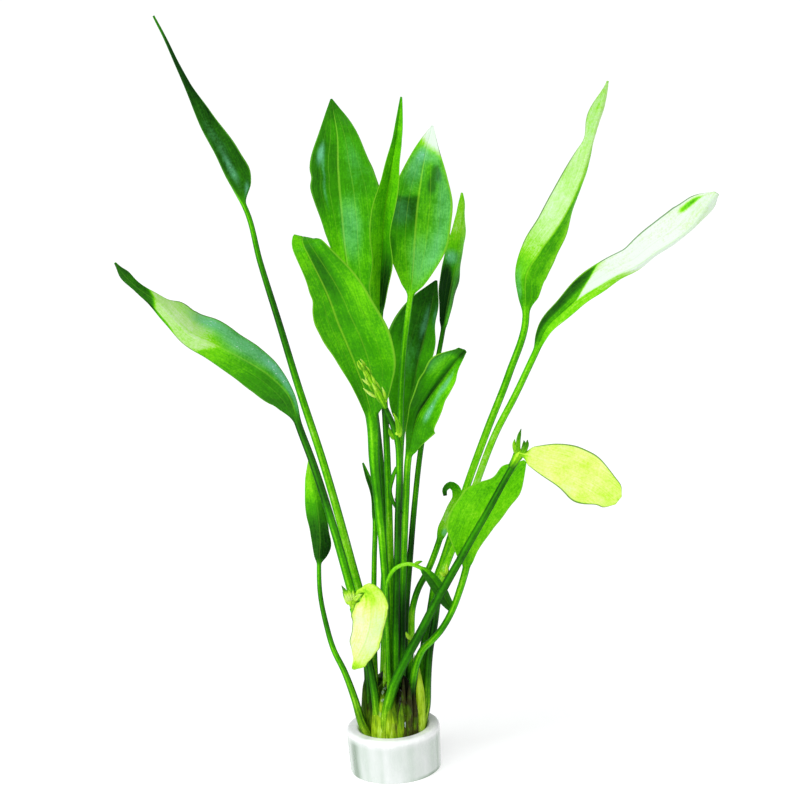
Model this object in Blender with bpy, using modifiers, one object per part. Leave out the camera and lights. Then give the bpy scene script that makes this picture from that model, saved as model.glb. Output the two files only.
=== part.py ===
"""Amazon sword plant standing in a short white ceramic ring.

A rosette of long-stalked leaves and three flower stalks grows from one
rootstock, which is wedged in the bore of the ring. Every leaf is one solid:
its round stalk and its blade grew together. Routes are in millimetres, with
the ring standing on Z = 0, its axis on the Z axis, and the show side of the
plant facing -Y.
"""

import math

import bmesh
import bpy
import numpy as np

MM = 0.001

RING_HEIGHT = 15.2
RING_TOP_RADIUS = 15.1
RING_FOOT_RADIUS = 14.5
RING_BORE_RADIUS = 11.2
RIM_ROUNDING = 1.3
FOOT_ROUNDING = 0.5

GAP = 0.3
ROOT_RADIUS = RING_BORE_RADIUS - GAP
ROOT_CROWN_RADIUS = 0.62 * ROOT_RADIUS
ROOT_TOP = 8.8
ROOT_SHOULDER = ROOT_TOP - 2.3
STALK_START = ROOT_TOP + GAP + 0.4

BLADE_THICKNESS = 0.7
MIDRIB_THICKNESS = 1.3
MARGIN_SHARE = 0.7
NARROWEST_HALF = 0.25

# A blade narrower than this folds less, down to not at all.
FULL_FOLD_WIDTH = 4.0

# The share of a blade's length over which the round stalk opens into it.
OPENING = 0.08

SECTION_POINTS = 10
TURN_STEPS = 32
STALK_STEP = 26.0
BEND_STEP = 17.0
BLADE_STEPS = 9
FINE_STEPS = 300
WAY_REACH = 0.6

# The show side looks forward and a little up: the leaves were read from there.
SHOW_TILT = math.radians(17)
SHOW_SIDE = np.array([0.0, -math.cos(SHOW_TILT), math.sin(SHOW_TILT)])

PARTS = "amazon_sword_plant"


def clear_scene():
    """Removes whatever the scene holds."""
    for thing in list(bpy.data.objects):
        bpy.data.objects.remove(thing, do_unlink=True)


def material(name, colour, roughness):
    """A plain surface of one colour, with no metal in it."""
    made = bpy.data.materials.get(name)
    if made is None:
        made = bpy.data.materials.new(name)
        made.use_nodes = True
        shader = made.node_tree.nodes["Principled BSDF"]
        shader.inputs["Base Color"].default_value = (*colour, 1.0)
        shader.inputs["Roughness"].default_value = roughness
        shader.inputs["Metallic"].default_value = 0.0
    return made


def deep_green():
    return material("deep_green_leaf", (0.03, 0.22, 0.02), 0.35)


def fresh_green():
    return material("fresh_green_leaf", (0.08, 0.42, 0.01), 0.35)


def pale_green():
    return material("pale_leaf", (0.55, 0.80, 0.25), 0.4)


def stalk_green():
    return material("flower_stalk", (0.05, 0.26, 0.02), 0.4)


def bract_green():
    return material("bract", (0.35, 0.55, 0.06), 0.5)


def root_brown():
    return material("rootstock", (0.16, 0.17, 0.04), 0.8)


def white_ceramic():
    return material("white_ceramic", (0.86, 0.87, 0.85), 0.3)


def along(points):
    """Distance run at each point of a polyline, from 0."""
    steps = np.linalg.norm(np.diff(points, axis=0), axis=1)
    return np.concatenate([[0.0], np.cumsum(steps)])


def smooth(places, values, wanted):
    """A smooth curve through values at places, read at the wanted places.

    Each span is a cubic whose end slopes are the mean of the two slopes that
    meet there, weighted towards the shorter span.
    """
    places = np.asarray(places, float)
    values = np.asarray(values, float)
    span = np.diff(places)
    slope = (np.diff(values, axis=0).T / span).T
    tangent = np.empty_like(values)
    tangent[0] = slope[0]
    tangent[-1] = slope[-1]
    share = span[1:] / (span[:-1] + span[1:])
    tangent[1:-1] = (slope[:-1].T * share + slope[1:].T * (1.0 - share)).T
    index = np.clip(np.searchsorted(places, wanted, side="right") - 1, 0, len(span) - 1)
    t = (wanted - places[index]) / span[index]
    h = span[index]
    start = (values[index].T * (2 * t**3 - 3 * t**2 + 1)).T
    leave = (tangent[index].T * ((t**3 - 2 * t**2 + t) * h)).T
    end = (values[index + 1].T * (3 * t**2 - 2 * t**3)).T
    arrive = (tangent[index + 1].T * ((t**3 - t**2) * h)).T
    return start + leave + end + arrive


def spread(values, v):
    """Values given at even steps from 0 to 1, read smoothly at v."""
    return smooth(np.linspace(0.0, 1.0, len(values)), values, v)


def frames(route, stations):
    """Centre, side and face direction at each station of a route.

    Side points to the right of the way the route runs, seen from the show
    side, and face points out to that side.
    """
    run = along(route)
    centre = smooth(run, route, stations)
    ahead = smooth(run, route, np.minimum(stations + WAY_REACH, run[-1]))
    behind = smooth(run, route, np.maximum(stations - WAY_REACH, 0.0))
    way = ahead - behind
    way /= np.linalg.norm(way, axis=1)[:, None]
    side = np.cross(way, SHOW_SIDE)
    side /= np.linalg.norm(side, axis=1)[:, None]
    return centre, side, np.cross(side, way)


def bend_steps(route, start, stop, longest):
    """Stations from start to stop: evenly spaced, and closer where the route bends.

    Each fine step costs its length over the longest step allowed, plus its
    bend over the bend allowed between stations; stations share the sum evenly.
    """
    fine = np.linspace(start, stop, FINE_STEPS)
    way = np.diff(smooth(along(route), route, fine), axis=0)
    way /= np.linalg.norm(way, axis=1)[:, None]
    bend = np.degrees(np.arccos(np.clip((way[1:] * way[:-1]).sum(axis=1), -1.0, 1.0)))
    cost = np.diff(fine) / longest
    cost[1:] += bend / BEND_STEP
    total = np.concatenate([[0.0], np.cumsum(cost)])
    count = max(2, round(total[-1]))
    return np.interp(np.linspace(0.0, total[-1], count + 1), total, fine)


def round_section(radius):
    """Points of a round section, as (side, face) pairs, from the right margin up."""
    angle = 2 * math.pi * (np.arange(SECTION_POINTS) + 0.5) / SECTION_POINTS
    return radius * np.stack([np.cos(angle), np.sin(angle)], axis=-1)


def blade_section(left, right, turn, fold, midrib):
    """Ten points round a folded blade: its upper skin, then its lower one.

    Each half is a straight flap of its own width, raised by its angle from
    the side direction. The skins lie half a thickness to either side of it.
    """
    right_rise = math.radians(turn + fold)
    left_rise = math.radians(fold - turn)
    right_way = np.array([math.cos(right_rise), math.sin(right_rise)])
    left_way = np.array([-math.cos(left_rise), math.sin(left_rise)])
    right_up = np.array([-right_way[1], right_way[0]])
    left_up = np.array([left_way[1], -left_way[0]])
    middle_up = right_up + left_up
    middle_up /= np.linalg.norm(middle_up)
    half = BLADE_THICKNESS / 2
    flaps = [
        (right_way * right, right_up * half * MARGIN_SHARE),
        (right_way * right * 0.5, right_up * half),
        (np.zeros(2), middle_up * midrib / 2),
        (left_way * left * 0.5, left_up * half),
        (left_way * left, left_up * half * MARGIN_SHARE),
    ]
    upper = [place + lift for place, lift in flaps]
    lower = [place - lift for place, lift in reversed(flaps)]
    return np.array(upper + lower)


def ease(x):
    """0 to 1 with a soft start and a soft end."""
    x = np.clip(x, 0.0, 1.0)
    return x * x * (3.0 - 2.0 * x)


def loft(name, sections, finish):
    """One closed solid through equal-length rings of points, capped at both ends."""
    bm = bmesh.new()
    rings = [[bm.verts.new(tuple(p * MM)) for p in ring] for ring in sections]
    for low, high in zip(rings, rings[1:]):
        for i in range(len(low)):
            j = (i + 1) % len(low)
            bm.faces.new((low[i], low[j], high[j], high[i]))
    for ring in (rings[0], rings[-1]):
        hub = bm.verts.new(sum((v.co for v in ring), ring[0].co * 0.0) / len(ring))
        for i in range(len(ring)):
            bm.faces.new((ring[i], ring[(i + 1) % len(ring)], hub))
    bmesh.ops.recalc_face_normals(bm, faces=bm.faces)
    if bm.calc_volume(signed=True) < 0:
        bmesh.ops.reverse_faces(bm, faces=bm.faces)
    return place_mesh(name, bm, finish)


def place_mesh(name, bm, finish):
    """Puts a finished mesh in the plant's collection under its name."""
    mesh = bpy.data.meshes.new(name)
    bm.to_mesh(mesh)
    bm.free()
    mesh.materials.append(finish)
    mesh.shade_smooth()
    made = bpy.data.objects.new(name, mesh)
    bpy.data.collections[PARTS].objects.link(made)
    return made


def stalk(name, route, radii, finish):
    """A round stalk along a route, its radius read from even steps along it."""
    route = np.array(route, float)
    length = along(route)[-1]
    stations = bend_steps(route, 0.0, length, min(STALK_STEP, length / 3))
    centre, side, face = frames(route, stations)
    radius = spread(radii, stations / length)
    sections = []
    for c, s, f, r in zip(centre, side, face, radius):
        ring = round_section(r)
        sections.append(c + ring[:, :1] * s + ring[:, 1:] * f)
    return loft(name, sections, finish)


def leaf(name, petiole, blade, left, right, turn, fold, radii, finish):
    """A leaf as one solid: a round stalk that opens into a folded blade.

    petiole runs from the rootstock to the blade, blade is its midrib up to
    the tip. left and right are the half widths at even steps from the blade's
    base to its tip, turn is the angle it is turned about its midrib, and fold
    the angle at which both halves are raised to the show side, in degrees.
    """
    route = np.array(list(petiole) + list(blade), float)
    run = along(route)
    base = run[len(petiole)]
    tip = run[-1]
    on_stalk = bend_steps(route, 0.0, base, STALK_STEP)
    on_blade = bend_steps(route, base, tip, (tip - base) / BLADE_STEPS)
    where = np.concatenate([on_stalk[:-1], on_blade])
    centre, side, face = frames(route, where)
    radius = spread(radii, np.minimum(where / base, 1.0))
    v = np.clip((where - base) / (tip - base), 0.0, 1.0)
    opened = ease(v / OPENING)
    sections = []
    for i, at in enumerate(v):
        ring = round_section(radius[i] * (1.0 - 0.5 * at))
        if at > 0:
            lw = max(spread(left, at), NARROWEST_HALF)
            rw = max(spread(right, at), NARROWEST_HALF)
            shut = min(1.0, (lw + rw) / FULL_FOLD_WIDTH)
            flat = blade_section(
                lw,
                rw,
                spread(turn, at),
                spread(fold, at) * shut,
                MIDRIB_THICKNESS * (1.0 - at) + BLADE_THICKNESS * at,
            )
            ring = ring * (1.0 - opened[i]) + flat * opened[i]
        sections.append(centre[i] + ring[:, :1] * side[i] + ring[:, 1:] * face[i])
    return loft(name, sections, finish)


def turned(name, profile, finish):
    """A solid of revolution from a closed profile, read top to bottom outside."""
    mesh = bpy.data.meshes.new(name)
    points = [(r * MM, 0.0, z * MM) for r, z in profile]
    closed = profile[0][0] > 0
    edges = [(i, i + 1) for i in range(len(points) - 1)]
    if closed:
        edges.append((len(points) - 1, 0))
    mesh.from_pydata(points, edges, [])
    made = bpy.data.objects.new(name, mesh)
    bpy.data.collections[PARTS].objects.link(made)
    made.data.materials.append(finish)
    screw = made.modifiers.new("turn", "SCREW")
    screw.axis = "Z"
    screw.steps = TURN_STEPS
    screw.render_steps = TURN_STEPS
    screw.use_merge_vertices = True
    screw.merge_threshold = 0.00001
    screw.use_smooth_shade = True
    return made


def rounded(centre, radius, start, stop, steps):
    """Points of an arc in the profile plane, angles in degrees from +R to +Z."""
    angles = [math.radians(start + (stop - start) * i / steps) for i in range(steps + 1)]
    return [(centre[0] + radius * math.cos(a), centre[1] + radius * math.sin(a)) for a in angles]


def ceramic_ring():
    """The thick ring, a little narrower at its foot, with a softly rounded rim."""
    r = RIM_ROUNDING
    f = FOOT_ROUNDING
    profile = rounded((RING_TOP_RADIUS - r, RING_HEIGHT - r), r, 90, 0, 3)
    profile += rounded((RING_FOOT_RADIUS - f, f), f, 0, -90, 1)
    profile += rounded((RING_BORE_RADIUS + f, f), f, -90, -180, 1)
    profile += rounded((RING_BORE_RADIUS + r, RING_HEIGHT - r), r, 180, 90, 3)
    return turned("ceramic_ring", profile, white_ceramic())


def rootstock():
    """Short rhizome and trimmed roots, wedged in the bore and flush with its foot."""
    profile = [
        (0.0, ROOT_TOP),
        (ROOT_CROWN_RADIUS, ROOT_TOP - 0.3),
        (ROOT_RADIUS - 0.6, ROOT_SHOULDER + 0.8),
        (ROOT_RADIUS, ROOT_SHOULDER),
        (ROOT_RADIUS, 0.0),
        (0.0, 0.0),
    ]
    return turned("rootstock", profile, root_brown())


def leaf_01_tall_left():
    """Tall narrow leaf leaning left, folded nearly shut, with its keel on the left."""
    return leaf(
        "leaf_01_tall_left",
        petiole=[(-6.4, 2.6, STALK_START), (-5.8, 2.3, 22), (-5.4, 1.6, 36), (-5.6, 1.0, 46),
                 (-6.9, 0.5, 57), (-9.9, 0.2, 74), (-12.1, 0.4, 86), (-16.5, 2, 107.5),
                 (-22.6, 5, 132.5), (-27.4, 8, 154), (-31.7, 10, 173)],
        blade=[(-35.1, 12, 190.5), (-40.1, 13, 200.5), (-43.2, 13.5, 208.5), (-46.7, 14, 216.5),
               (-50.5, 15, 228.5), (-53.3, 16, 237), (-56.6, 18, 246.5), (-59.3, 20, 252.5)],
        left=[1, 5.5, 6.2, 5.6, 4.0, 2.2, 1.2, 0.7, 0.3],
        right=[1, 7.4, 7.4, 6.2, 4.6, 2.3, 1.3, 0.7, 0.3],
        turn=[30, 60, 60, 50],
        fold=[-40, -70, -70, -50],
        radii=[1.3, 1.25, 1.1, 1.0, 0.85],
        finish=deep_green(),
    )


def leaf_02_arching_left():
    """Leaf arching out to the left, its back ridge up, drawn out to a twisted tip."""
    return leaf(
        "leaf_02_arching_left",
        petiole=[(-7.7, -1.2, STALK_START), (-7.3, -1.9, 21), (-6.9, -3.0, 31), (-6.9, -4.2, 41),
                 (-7.8, -5.0, 50), (-10.9, -6.4, 68.5), (-14.3, -7.4, 87), (-19.5, -8.8, 111)],
        blade=[(-22.8, -10, 123.5), (-25.2, -11, 134), (-30.5, -13, 141.5), (-35.2, -15, 146),
               (-41.3, -18, 151), (-47.4, -20, 155.5), (-53.6, -22, 159.5), (-58.8, -24, 166),
               (-63.7, -26, 172.5), (-68.1, -28, 177), (-71.8, -30, 182), (-74, -32, 186.5)],
        left=[1.2, 6.8, 7.6, 6.4, 5.0, 3.5, 2.6, 1.2, 0.3],
        right=[1.2, 2.3, 6.4, 8.6, 10.1, 9.0, 3.2, 1.6, 0.3],
        turn=[0, -12, -14, -14, 10],
        fold=[-20, -28, -28, -26, -35],
        radii=[1.35, 1.3, 1.2, 1.15],
        finish=deep_green(),
    )


def leaf_03_small_left():
    """Small leaf low on the left; its stalk bows out over the rim of the ring."""
    return leaf(
        "leaf_03_small_left",
        petiole=[(-7.6, -4.3, STALK_START), (-8.3, -4.8, 14), (-9.4, -5.7, 18), (-11.4, -6.9, 28),
                 (-14.1, -7.5, 38.5),
                 (-17.0, -7.2, 45.5), (-19.0, -6.2, 54.5), (-20.2, -4.5, 64.5)],
        blade=[(-20.2, -3, 73.5), (-19.2, -2, 82.5), (-19.2, -1, 90.5), (-19.9, 0, 99),
               (-20.8, 1, 108.5)],
        left=[0.8, 2.4, 3.2, 4.0, 3.4, 2.3, 0.3],
        right=[0.8, 3.3, 3.0, 2.5, 2.1, 1.1, 0.3],
        turn=[-8, -10],
        fold=[-18, -20],
        radii=[1.1, 1.1, 0.9, 0.75],
        finish=deep_green(),
    )


def leaf_04_broad_rear():
    """Broad upright leaf at the back, with a wavy left margin."""
    return leaf(
        "leaf_04_broad_rear",
        petiole=[(-4.0, 5.4, STALK_START), (-2.8, 6, 22), (-1.2, 7, 39.5), (-0.2, 8, 57),
                 (0.2, 8.8, 70.5), (0.2, 9.6, 84), (-0.2, 11, 104), (-0.4, 13, 124)],
        blade=[(-1.0, 16, 145), (-2.3, 18, 153.5), (-4.4, 21, 170), (-4.8, 23.5, 182),
               (-4.9, 26, 198), (-4.4, 28.5, 209), (-5.1, 30.5, 216), (-5.5, 31.5, 219.8)],
        left=[1.2, 2.4, 3.4, 4.8, 6.9, 9.4, 8.9, 5.5, 0.3],
        right=[1.2, 6.2, 10.4, 12.8, 13.9, 13.2, 9.9, 5.6, 0.3],
        turn=[0, 0],
        fold=[18, 12, 10],
        radii=[1.3, 1.15, 1.05, 1.1],
        finish=deep_green(),
    )


def leaf_05_broad_front():
    """Broadest leaf, in front; its tip rolls over backwards."""
    return leaf(
        "leaf_05_broad_front",
        petiole=[(-2.4, -3.0, STALK_START), (-1.4, -3.4, 25), (-0.2, -3.8, 43), (0.7, -4.2, 60.5),
                 (0.9, -4.6, 78), (0.5, -5.5, 95.5), (0.2, -7, 109.5)],
        blade=[(0.5, -9, 123.5), (-0.8, -11, 132.5), (-3.1, -13, 141.5), (-5.6, -15, 150.5),
               (-8.1, -17, 159), (-9.9, -19, 166.5), (-11.9, -21, 173.5), (-13.4, -22.5, 179.5),
               (-15.2, -23, 184.7), (-17.0, -21.5, 188), (-18.4, -18, 188.6), (-19, -15, 187)],
        left=[2.0, 3.0, 4.4, 5.7, 7.2, 6.6, 4.4, 3.8, 0.3],
        right=[2.2, 7.8, 12.8, 14.4, 13.7, 12.1, 9.2, 3.6, 0.3],
        turn=[-4, -6, -4],
        fold=[24, 22, 14, 4],
        radii=[1.5, 1.3, 1.25, 1.5, 2.1],
        finish=fresh_green(),
    )


def leaf_06_narrow_centre():
    """Tall narrow leaf in the middle, folded so both halves point forward."""
    return leaf(
        "leaf_06_narrow_centre",
        petiole=[(-0.6, 4.2, STALK_START), (0.0, 3.9, 22.5), (1.1, 3.8, 40), (1.9, 4.2, 57.5),
                 (2.7, 4.6, 78), (3.5, 5, 96), (4.4, 5.2, 115.5), (4.8, 5, 132)],
        blade=[(5.2, 5, 152), (5.9, 4.8, 162), (7.4, 4.5, 175), (9.4, 4.5, 189.5),
               (11.7, 4.5, 200), (14.4, 5, 211.5), (16.8, 6, 224)],
        left=[0.9, 4.6, 4.8, 6.3, 5.2, 2.8, 1.2, 0.3],
        right=[0.9, 3.4, 5.4, 3.9, 5.1, 4.2, 2.1, 0.3],
        turn=[0, 2],
        fold=[45, 57, 57, 50],
        radii=[1.2, 1.1, 1.0, 0.9],
        finish=fresh_green(),
    )


def leaf_07_pale_centre():
    """Broad oval leaf right of the middle, leaning back so that it faces the light."""
    return leaf(
        "leaf_07_pale_centre",
        petiole=[(0.4, 0.2, STALK_START), (1.9, 0.4, 23.5), (3.1, 0.4, 41), (4.3, 0.4, 58.5),
                 (6.4, 0.2, 86.5), (8.6, -0.5, 108.5), (10.2, -1, 128.5), (12.7, -0.5, 147)],
        blade=[(15.2, 2, 159.5), (16.4, 5, 165.5), (18.1, 9, 177.5), (19.8, 12, 188),
               (21.7, 15, 196.5), (23.9, 18, 204.5), (26.2, 20, 211.2)],
        left=[1.1, 5.2, 8.6, 9.3, 8.6, 6.3, 3.4, 0.3],
        right=[1.1, 5.4, 9.9, 11.5, 11.1, 8.1, 4.4, 0.3],
        turn=[0, 0],
        fold=[16, 12, 10],
        radii=[1.25, 1.2, 1.05, 0.95],
        finish=fresh_green(),
    )


def leaf_08_narrow_right():
    """Narrow leaf at the back right, its halves folded away from the show side."""
    return leaf(
        "leaf_08_narrow_right",
        petiole=[(4.6, 3.6, STALK_START), (4.4, 3.8, 22), (5.6, 4.8, 39), (7.0, 6.2, 53),
                 (9.4, 8.4, 69.5), (11.9, 10.5, 86), (15.5, 14, 105.5), (19.5, 17, 121.5)],
        blade=[(25.2, 21, 142.5), (27.0, 22.5, 150), (29.2, 24, 158), (31.3, 25.5, 165.5),
               (33.0, 27, 174), (34.0, 28.5, 180), (34.5, 30, 186.3)],
        left=[0.9, 2.7, 4.4, 4.9, 3.7, 2.2, 0.3],
        right=[0.9, 3.2, 4.2, 4.0, 4.1, 2.6, 0.3],
        turn=[-15, -18],
        fold=[-40, -47, -45],
        radii=[1.2, 1.1, 0.95, 0.8],
        finish=deep_green(),
    )


def leaf_09_dark_rear():
    """Dark leaf behind the middle, wide on its left half."""
    return leaf(
        "leaf_09_dark_rear",
        petiole=[(2.2, 7.0, STALK_START), (2.9, 7.2, 21.5), (4.0, 7.6, 39), (5.2, 8.2, 56.5),
                 (6.4, 8.6, 73.5), (7.5, 8.8, 90.5), (8.6, 9, 106)],
        blade=[(9.8, 9.5, 114), (11.8, 10, 120), (14.2, 11, 126), (16.4, 12.5, 134.5),
               (18.9, 14, 142), (21.4, 15.5, 150), (24.2, 17, 161)],
        left=[1.2, 4.8, 9.4, 11.2, 12.2, 10.6, 6.9, 0.4],
        right=[1.2, 1.8, 2.6, 4.1, 4.6, 2.9, 2.2, 0.3],
        turn=[12, 15],
        fold=[20, 20, 14],
        radii=[1.25, 1.15, 1.1, 1.2],
        finish=deep_green(),
    )


def leaf_10_folded_right():
    """Short leaf right of the middle, folded along its midrib, with a rounded tip."""
    return leaf(
        "leaf_10_folded_right",
        petiole=[(3.6, -2.4, STALK_START), (3.6, -2.4, 24), (4.9, -2.8, 42), (6.1, -3.3, 59.5),
                 (7.7, -4.2, 77), (9.5, -5.5, 95)],
        blade=[(11.1, -8, 109.5), (12.8, -9.5, 117.5), (15.2, -11, 125), (18.3, -13, 130),
               (21.4, -15, 134.5), (24.7, -17, 139), (28.1, -19, 143.5), (31.1, -21, 147.5)],
        left=[1.1, 1.8, 3.5, 4.9, 6.5, 8.2, 7.6, 1.8],
        right=[1.1, 4.2, 8.2, 9.8, 7.3, 5.3, 3.2, 0.8],
        turn=[0, 0],
        fold=[30, 40, 40, 34],
        radii=[1.25, 1.15, 1.1, 1.15],
        finish=fresh_green(),
    )


def leaf_11_upright_right():
    """Long pale leaf at the upper right that twists towards its tip."""
    return leaf(
        "leaf_11_upright_right",
        petiole=[(8.6, 2.4, STALK_START), (8.9, 2.4, 14), (10.4, 2.6, 25.5), (11.0, 2.9, 33),
                 (12.0, 3.3, 40.5), (13.8, 3.9, 47.5), (15.5, 4.7, 55), (17.2, 5.5, 62),
                 (20.2, 6.3, 69), (24.1, 7.2, 79), (30.1, 8.4, 94.5), (37.6, 10.2, 111.5),
                 (45.8, 12.5, 129)],
        blade=[(52.4, 15, 147), (52.4, 16, 153), (53.2, 17, 160.5), (58.4, 19, 168),
               (64.5, 21, 175), (69.9, 23, 183), (73.7, 25, 190.5), (76.4, 26.5, 198),
               (79.2, 28, 206), (82.0, 30, 213.5), (83.7, 32, 219.2)],
        left=[1.1, 2.7, 5.6, 7.4, 7.6, 6.1, 3.8, 3.6, 0.3],
        right=[1.1, 5.8, 6.6, 5.0, 3.6, 2.8, 2.2, 1.6, 0.3],
        turn=[0, -4, -25, -40, -40],
        fold=[-18, -24, -45, -60, -55],
        radii=[1.4, 1.3, 1.25, 1.3, 1.4],
        finish=fresh_green(),
    )


def leaf_12_far_right():
    """Leaf reaching furthest right; beyond its middle it rolls its back to the light."""
    return leaf(
        "leaf_12_far_right",
        petiole=[(8.9, -1.0, STALK_START), (9.3, -1.0, 14), (11.3, -0.9, 21.5), (12.2, -0.5, 29),
                 (12.8, -0.3, 34), (14.0, 0, 41.5), (15.8, 0, 49), (17.2, 0, 56.5),
                 (18.8, 0, 64), (21.8, -0.2, 71.5), (26.3, -0.7, 81.5), (32.7, -1.6, 98),
                 (40.1, -3.6, 115.5), (46.1, -5.2, 126.5)],
        blade=[(53.2, -8, 141), (58.0, -9.5, 150.5), (62.6, -11, 155), (68.4, -12.5, 159.5),
               (74.7, -14, 163.5), (80.3, -15.5, 167), (86.0, -17, 170), (92.2, -19, 174.5),
               (98.1, -21, 178.5), (103.3, -23, 183), (107.7, -24, 189), (110.9, -25, 193.6)],
        left=[0.9, 3.2, 4.9, 6.6, 6.7, 7.9, 9.1, 7.6, 0.3],
        right=[0.9, 2.1, 2.5, 2.3, 2.2, 2.2, 2.2, 1.6, 0.3],
        turn=[0, -5, -22, -34, -38],
        fold=[30, 22, -20, -50, -55],
        radii=[1.3, 1.25, 1.2, 1.15, 1.1],
        finish=fresh_green(),
    )


def leaf_13_bright_low_right():
    """Bright leaf low on the right, behind the bare flower stalk."""
    return leaf(
        "leaf_13_bright_low_right",
        petiole=[(5.4, -6.2, STALK_START), (6.2, -6.3, 20), (7.1, -6.6, 29.5), (8.1, -7.4, 35),
                 (9.2, -8.2, 40), (11.2, -9.0, 44.5), (14.1, -10.0, 47.5), (17.1, -11.0, 51),
                 (19.4, -11.6, 54.5), (21.8, -12.0, 59), (24.1, -12.2, 64.6)],
        blade=[(26.8, -12, 72), (29.1, -11.5, 80), (32.1, -11, 87.5), (36.4, -10.8, 94),
               (41.8, -11, 100.5), (47.0, -11.5, 105.5)],
        left=[1.3, 4.6, 8.6, 8.8, 6.8, 4.2, 0.6],
        right=[1.3, 2.6, 4.5, 5.8, 5.9, 5.1, 0.6],
        turn=[0, 4],
        fold=[16, 14, 12],
        radii=[1.4, 1.35, 1.2, 1.1, 1.2],
        finish=fresh_green(),
    )


def leaf_14_small_hooked():
    """Small leaf on the right whose tip hooks over to the left."""
    return leaf(
        "leaf_14_small_hooked",
        petiole=[(6.2, 0.6, STALK_START), (5.8, 0.8, 23), (6.4, 1.4, 30.5), (7.1, 2.2, 36.5),
                 (8.1, 3.3, 45), (9.2, 4.6, 54), (11.3, 6.2, 59.5), (15.0, 8.6, 65)],
        blade=[(19.4, 11.5, 74), (21.4, 12, 79.5), (23.9, 12.3, 84.5), (25.8, 12.2, 89.5),
               (25.6, 11.8, 93.0), (23.8, 11, 94.4), (21.9, 10, 92)],
        left=[1.0, 1.6, 1.7, 1.8, 1.6, 1.2, 0.3],
        right=[1.0, 2.6, 3.2, 3.0, 2.2, 1.0, 0.3],
        turn=[10, 10],
        fold=[25, 30, 10],
        radii=[1.2, 1.15, 1.1, 1.05],
        finish=fresh_green(),
    )


def leaf_15_small_arching():
    """Small leaf whose thin stalk arches over in front and hangs its blade down."""
    return leaf(
        "leaf_15_small_arching",
        petiole=[(0.6, -6.9, STALK_START), (-0.2, -7.0, 21), (-0.2, -7.3, 34), (0.2, -7.8, 48),
                 (0.8, -8.8, 61.5), (1.9, -10, 69), (4.7, -10.9, 72.9), (8.4, -11.2, 74.0)],
        blade=[(12.5, -11, 72.6), (15.6, -10.6, 69.6), (18.2, -10.2, 65.4), (20.1, -9.8, 61.4),
               (21.4, -9.4, 58.4), (22.2, -9.2, 56)],
        left=[0.7, 1.8, 2.3, 2.4, 2.0, 0.3],
        right=[0.7, 1.9, 2.3, 2.4, 2.0, 0.3],
        turn=[10, 12],
        fold=[-30, -28],
        radii=[0.9, 0.8, 0.7, 0.65],
        finish=deep_green(),
    )


def leaf_16_young_spear():
    """Youngest leaf of the rosette, still a narrow rolled spear."""
    return leaf(
        "leaf_16_young_spear",
        petiole=[(-4.6, -0.6, STALK_START), (-4.9, -0.8, 22), (-4.7, -1.0, 34), (-4.1, -1.2, 46),
                 (-3.3, -1.4, 59.5), (-2.4, -1.6, 73.5)],
        blade=[(-1.4, -1.8, 87), (-1.1, -2.4, 97), (-2.0, -2.8, 102), (-3.5, -3.2, 107.5)],
        left=[0.8, 1.2, 1.2, 0.9, 0.3],
        right=[0.8, 1.0, 1.2, 0.8, 0.3],
        turn=[0, 0],
        fold=[40, 40],
        radii=[1.1, 1.0, 0.9, 0.85],
        finish=deep_green(),
    )


def flower_stalk_right():
    """Bare flower stalk slanting out to the right in front of everything else."""
    return stalk(
        "flower_stalk_right",
        [(-2.4, -8.2, STALK_START), (-2.4, -9.2, 20.5), (-0.6, -10.6, 28.5), (1.7, -11.4, 34),
         (6.6, -12.6, 43), (10.7, -13.4, 51), (15.1, -14.2, 60.5), (19.1, -15, 68),
         (22.6, -15.6, 73), (26.3, -16.2, 80.5), (31.2, -17.2, 88.5), (37.6, -18.6, 100),
         (42.3, -19.6, 107), (44.6, -20.2, 109.8)],
        [1.5, 1.45, 1.35, 1.15, 1.0],
        stalk_green(),
    )


def bract_tuft_right():
    """Pointed bracts at the end of the right flower stalk."""
    return stalk(
        "bract_tuft_right",
        [(45.2, -20.4, 110.6), (46.2, -20.7, 112.4), (47.0, -20.8, 114.5), (47.4, -20.8, 117.5),
         (47.8, -20.8, 121)],
        [1.2, 2.0, 1.9, 1.2, 0.4],
        bract_green(),
    )


def plantlet_leaf_right():
    """Pale leaf of the plantlet on the right flower stalk."""
    return leaf(
        "plantlet_leaf_right",
        petiole=[(48.8, -21.3, 111.2), (50.0, -21.6, 110.8)],
        blade=[(51.4, -21.8, 110.5), (55.0, -22.2, 109.7), (59.0, -23, 108.6), (63.4, -24, 106.7),
               (67.6, -25.2, 104.4), (72.0, -26.2, 101.2), (76.4, -26.6, 97)],
        left=[1.4, 5.4, 7.3, 7.6, 6.7, 4.4, 1.0],
        right=[1.4, 4.8, 7.1, 8.5, 8.0, 5.4, 1.2],
        turn=[0, 0],
        fold=[14, 12],
        radii=[1.0, 0.95, 0.9],
        finish=pale_green(),
    )


def flower_stalk_left():
    """Short flower stalk low on the left, half hidden by its own plantlet."""
    return stalk(
        "flower_stalk_left",
        [(-4.9, -5.8, STALK_START), (-4.9, -7, 21), (-5.5, -9, 34.5), (-6.9, -10.6, 46),
         (-8.9, -11.9, 56.5), (-10.0, -12.4, 61.5)],
        [1.4, 1.35, 1.25, 1.2],
        stalk_green(),
    )


def bract_tuft_left():
    """Frayed yellow-green bracts round the end of the left flower stalk."""
    return stalk(
        "bract_tuft_left",
        [(-10.3, -12.7, 62.4), (-10.8, -12.9, 65), (-11.4, -12.9, 68), (-12.2, -12.8, 70.5)],
        [1.5, 2.3, 1.8, 0.5],
        bract_green(),
    )


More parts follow.
